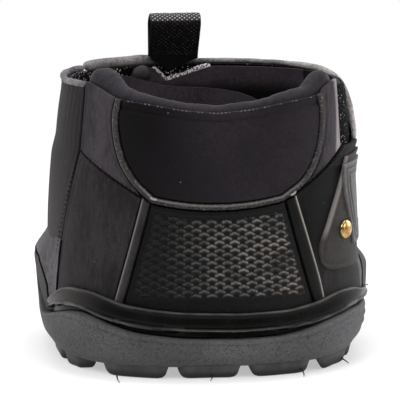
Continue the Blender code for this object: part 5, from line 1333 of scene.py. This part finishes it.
def stitches(name, seam, out, pitch, length, size, material):
    """A row of stitches: the thread's middle stands 0.9 of its size over the skin, both its ends are sunk."""
    reach = np.linalg.norm(np.diff(seam, axis=0), axis=1).sum()
    count = max(int(reach / pitch), 1)
    s = np.linspace(-1, 1, 5)
    places = along(seam, (np.arange(count)[:, None] + 0.5) / count + s * length / 2 / reach)
    height = out + size * (0.9 - 1.5 * s ** 2)
    core = on_skin(places, height)
    outward, run = unit(on_skin(places, height + 0.001) - core), unit(np.gradient(core, axis=1))
    side, turn = np.cross(outward, run), np.linspace(0, 2 * np.pi, 6, endpoint=False)[:, None]
    rings = core[..., None, :] + size * (np.cos(turn) * side[..., None, :] + np.sin(turn) * outward[..., None, :])
    start = 30 * np.arange(count)
    quads = (grid_quads(5, 6, False, True)[None] + start[:, None, None]).reshape(-1, 4)
    caps = (np.arange(6)[None] + start[:, None], 24 + np.arange(6)[None, ::-1] + start[:, None])
    return fit(make_piece(name, rings, quads, caps), material, "trim_binding", "boot_body")


wing_seam = strip(wing_tip + up / 2, seam_head + up / 2)
side_seam = np.stack((flat(HEEL + SIDE_FOOT, 0.034), seam_head, flat(HEEL + SIDE_HEAD, 0.1215)))
stitches("collar_stitches", collar_line(-37, 40, 61, 0.0001), 0.0004, 0.0019, 0.0008, 0.00024, collar_thread)
for name, seam, mirrored in (("wing_stitches_left", wing_seam, True), ("side_stitches_left", side_seam, True),
                             ("wing_stitches_right", wing_seam, False)):
    seam = seam * (-1, 1) + (2 * MIDDLE, 0) if mirrored else seam
    stitches(name, seam, 0.0, 0.0022, 0.0013, 0.00034, dark_thread)
for side_name, start, end, raised in (("right", TRIM_HEAD[0] + 0.6, TRIM_HEAD[1] + 2.2, 0.0010),
                                      ("left", 2.4 - TRIM_HEAD[1], 3.2 - TRIM_HEAD[0], 0.0024)):
    stitches("corner_stitch_" + side_name, under_hem(np.array((start, end))) + (0.0, raised), 0.0010, 1.0, 0.0030,
             0.00055, pale_thread)

# Floor, lights and camera: a plain studio, white behind the boot, with a soft shadow on the floor and five
# area lights.
floor_material, shader, place = finish("studio_floor", tone(255, 255, 255), 0.9, 0.0)
bpy.ops.mesh.primitive_plane_add(size=6.0, location=(0.0, 0.0, -0.0002))
floor = bpy.context.object
floor.name = "studio_floor"
floor.data.materials.append(floor_material)


def background_rays(near):
    """1 for the rays that show the background: the camera's own, and those through glass or off a shiny face."""
    ray = add(near, "LightPath").outputs
    return reckon("MAXIMUM", reckon("MAXIMUM", ray["Is Camera Ray"], ray["Is Glossy Ray"]),
                  ray["Is Transmission Ray"]), ray


far_off = ramp(add(place, "VectorMath", {0: place}, operation="LENGTH").outputs["Value"], 0.12, 0.75, 0.45)
white = add(shader, "Emission", {"Strength": 1.0})
floor_mix = add(shader, "MixShader", {0: reckon("MULTIPLY", far_off, background_rays(shader)[0]),
                                    1: shader.outputs[0], 2: white.outputs[0]})
tree = floor_material.node_tree
tree.links.new(floor_mix.outputs[0], tree.nodes["Material Output"].inputs["Surface"])

world = bpy.data.worlds.new("studio")
world.use_nodes = True
bpy.context.scene.world = world
tree = world.node_tree
seen, ray = background_rays(tree)
toward = part(add(tree, "TexCoord").outputs["Generated"], 1)
room = mixed(ramp(toward, -0.25, 0.55), (0.10, 0.10, 0.10, 1), (1, 1, 1, 1))
backdrop = mixed(ray["Is Glossy Ray"], (1, 1, 1, 1), room)
background = tree.nodes["Background"]
tree.links.new(mixed(seen, (0.5, 0.5, 0.5, 1), backdrop), background.inputs["Color"])

for name, where, aim, width, height, watts in (
        ("key", (-0.8, -0.9, 1.3), (0, 0, 0.06), 0.9, 0.9, 12.0),
        ("fill", (1.2, -0.8, 0.7), (0, 0, 0.06), 0.8, 0.8, 8.0),
        ("top", (0.1, 0.2, 1.5), (0, 0, 0.05), 1.0, 1.0, 12.0),
        ("left_rim", (-1.3, 0.5, 0.5), (0, 0, 0.08), 0.6, 0.9, 6.0),
        ("right_rim", (1.3, 0.5, 0.5), (0, 0, 0.08), 0.6, 0.9, 8.0)):
    light = bpy.data.lights.new(name, "AREA")
    light.shape, light.size, light.size_y, light.energy = "RECTANGLE", width, height, watts
    lamp = bpy.data.objects.new(name, light)
    from_aim = np.array(where) - np.array(aim)
    yaw, pitch = math.atan2(from_aim[0], -from_aim[1]), math.acos(from_aim[2] / np.linalg.norm(from_aim))
    lamp.location, lamp.rotation_euler = where, (pitch, 0.0, yaw)
    bpy.context.scene.collection.objects.link(lamp)

AZIMUTH, ELEVATION, DISTANCE = math.radians(-6.2), math.radians(10.5), 1.100
camera = bpy.data.objects.new("camera", bpy.data.cameras.new("camera"))
camera.data.lens, camera.data.sensor_width = 217.8, 36.0
camera.data.shift_x, camera.data.shift_y = -0.00875, 0.00375
camera.location = (DISTANCE * math.sin(AZIMUTH) * math.cos(ELEVATION),
                   -DISTANCE * math.cos(AZIMUTH) * math.cos(ELEVATION), 0.065 + DISTANCE * math.sin(ELEVATION))
camera.rotation_euler = (math.pi / 2 - ELEVATION, 0.0, AZIMUTH)
bpy.context.scene.collection.objects.link(camera)
bpy.context.scene.camera = camera
bpy.context.scene.view_settings.view_transform = "Standard"
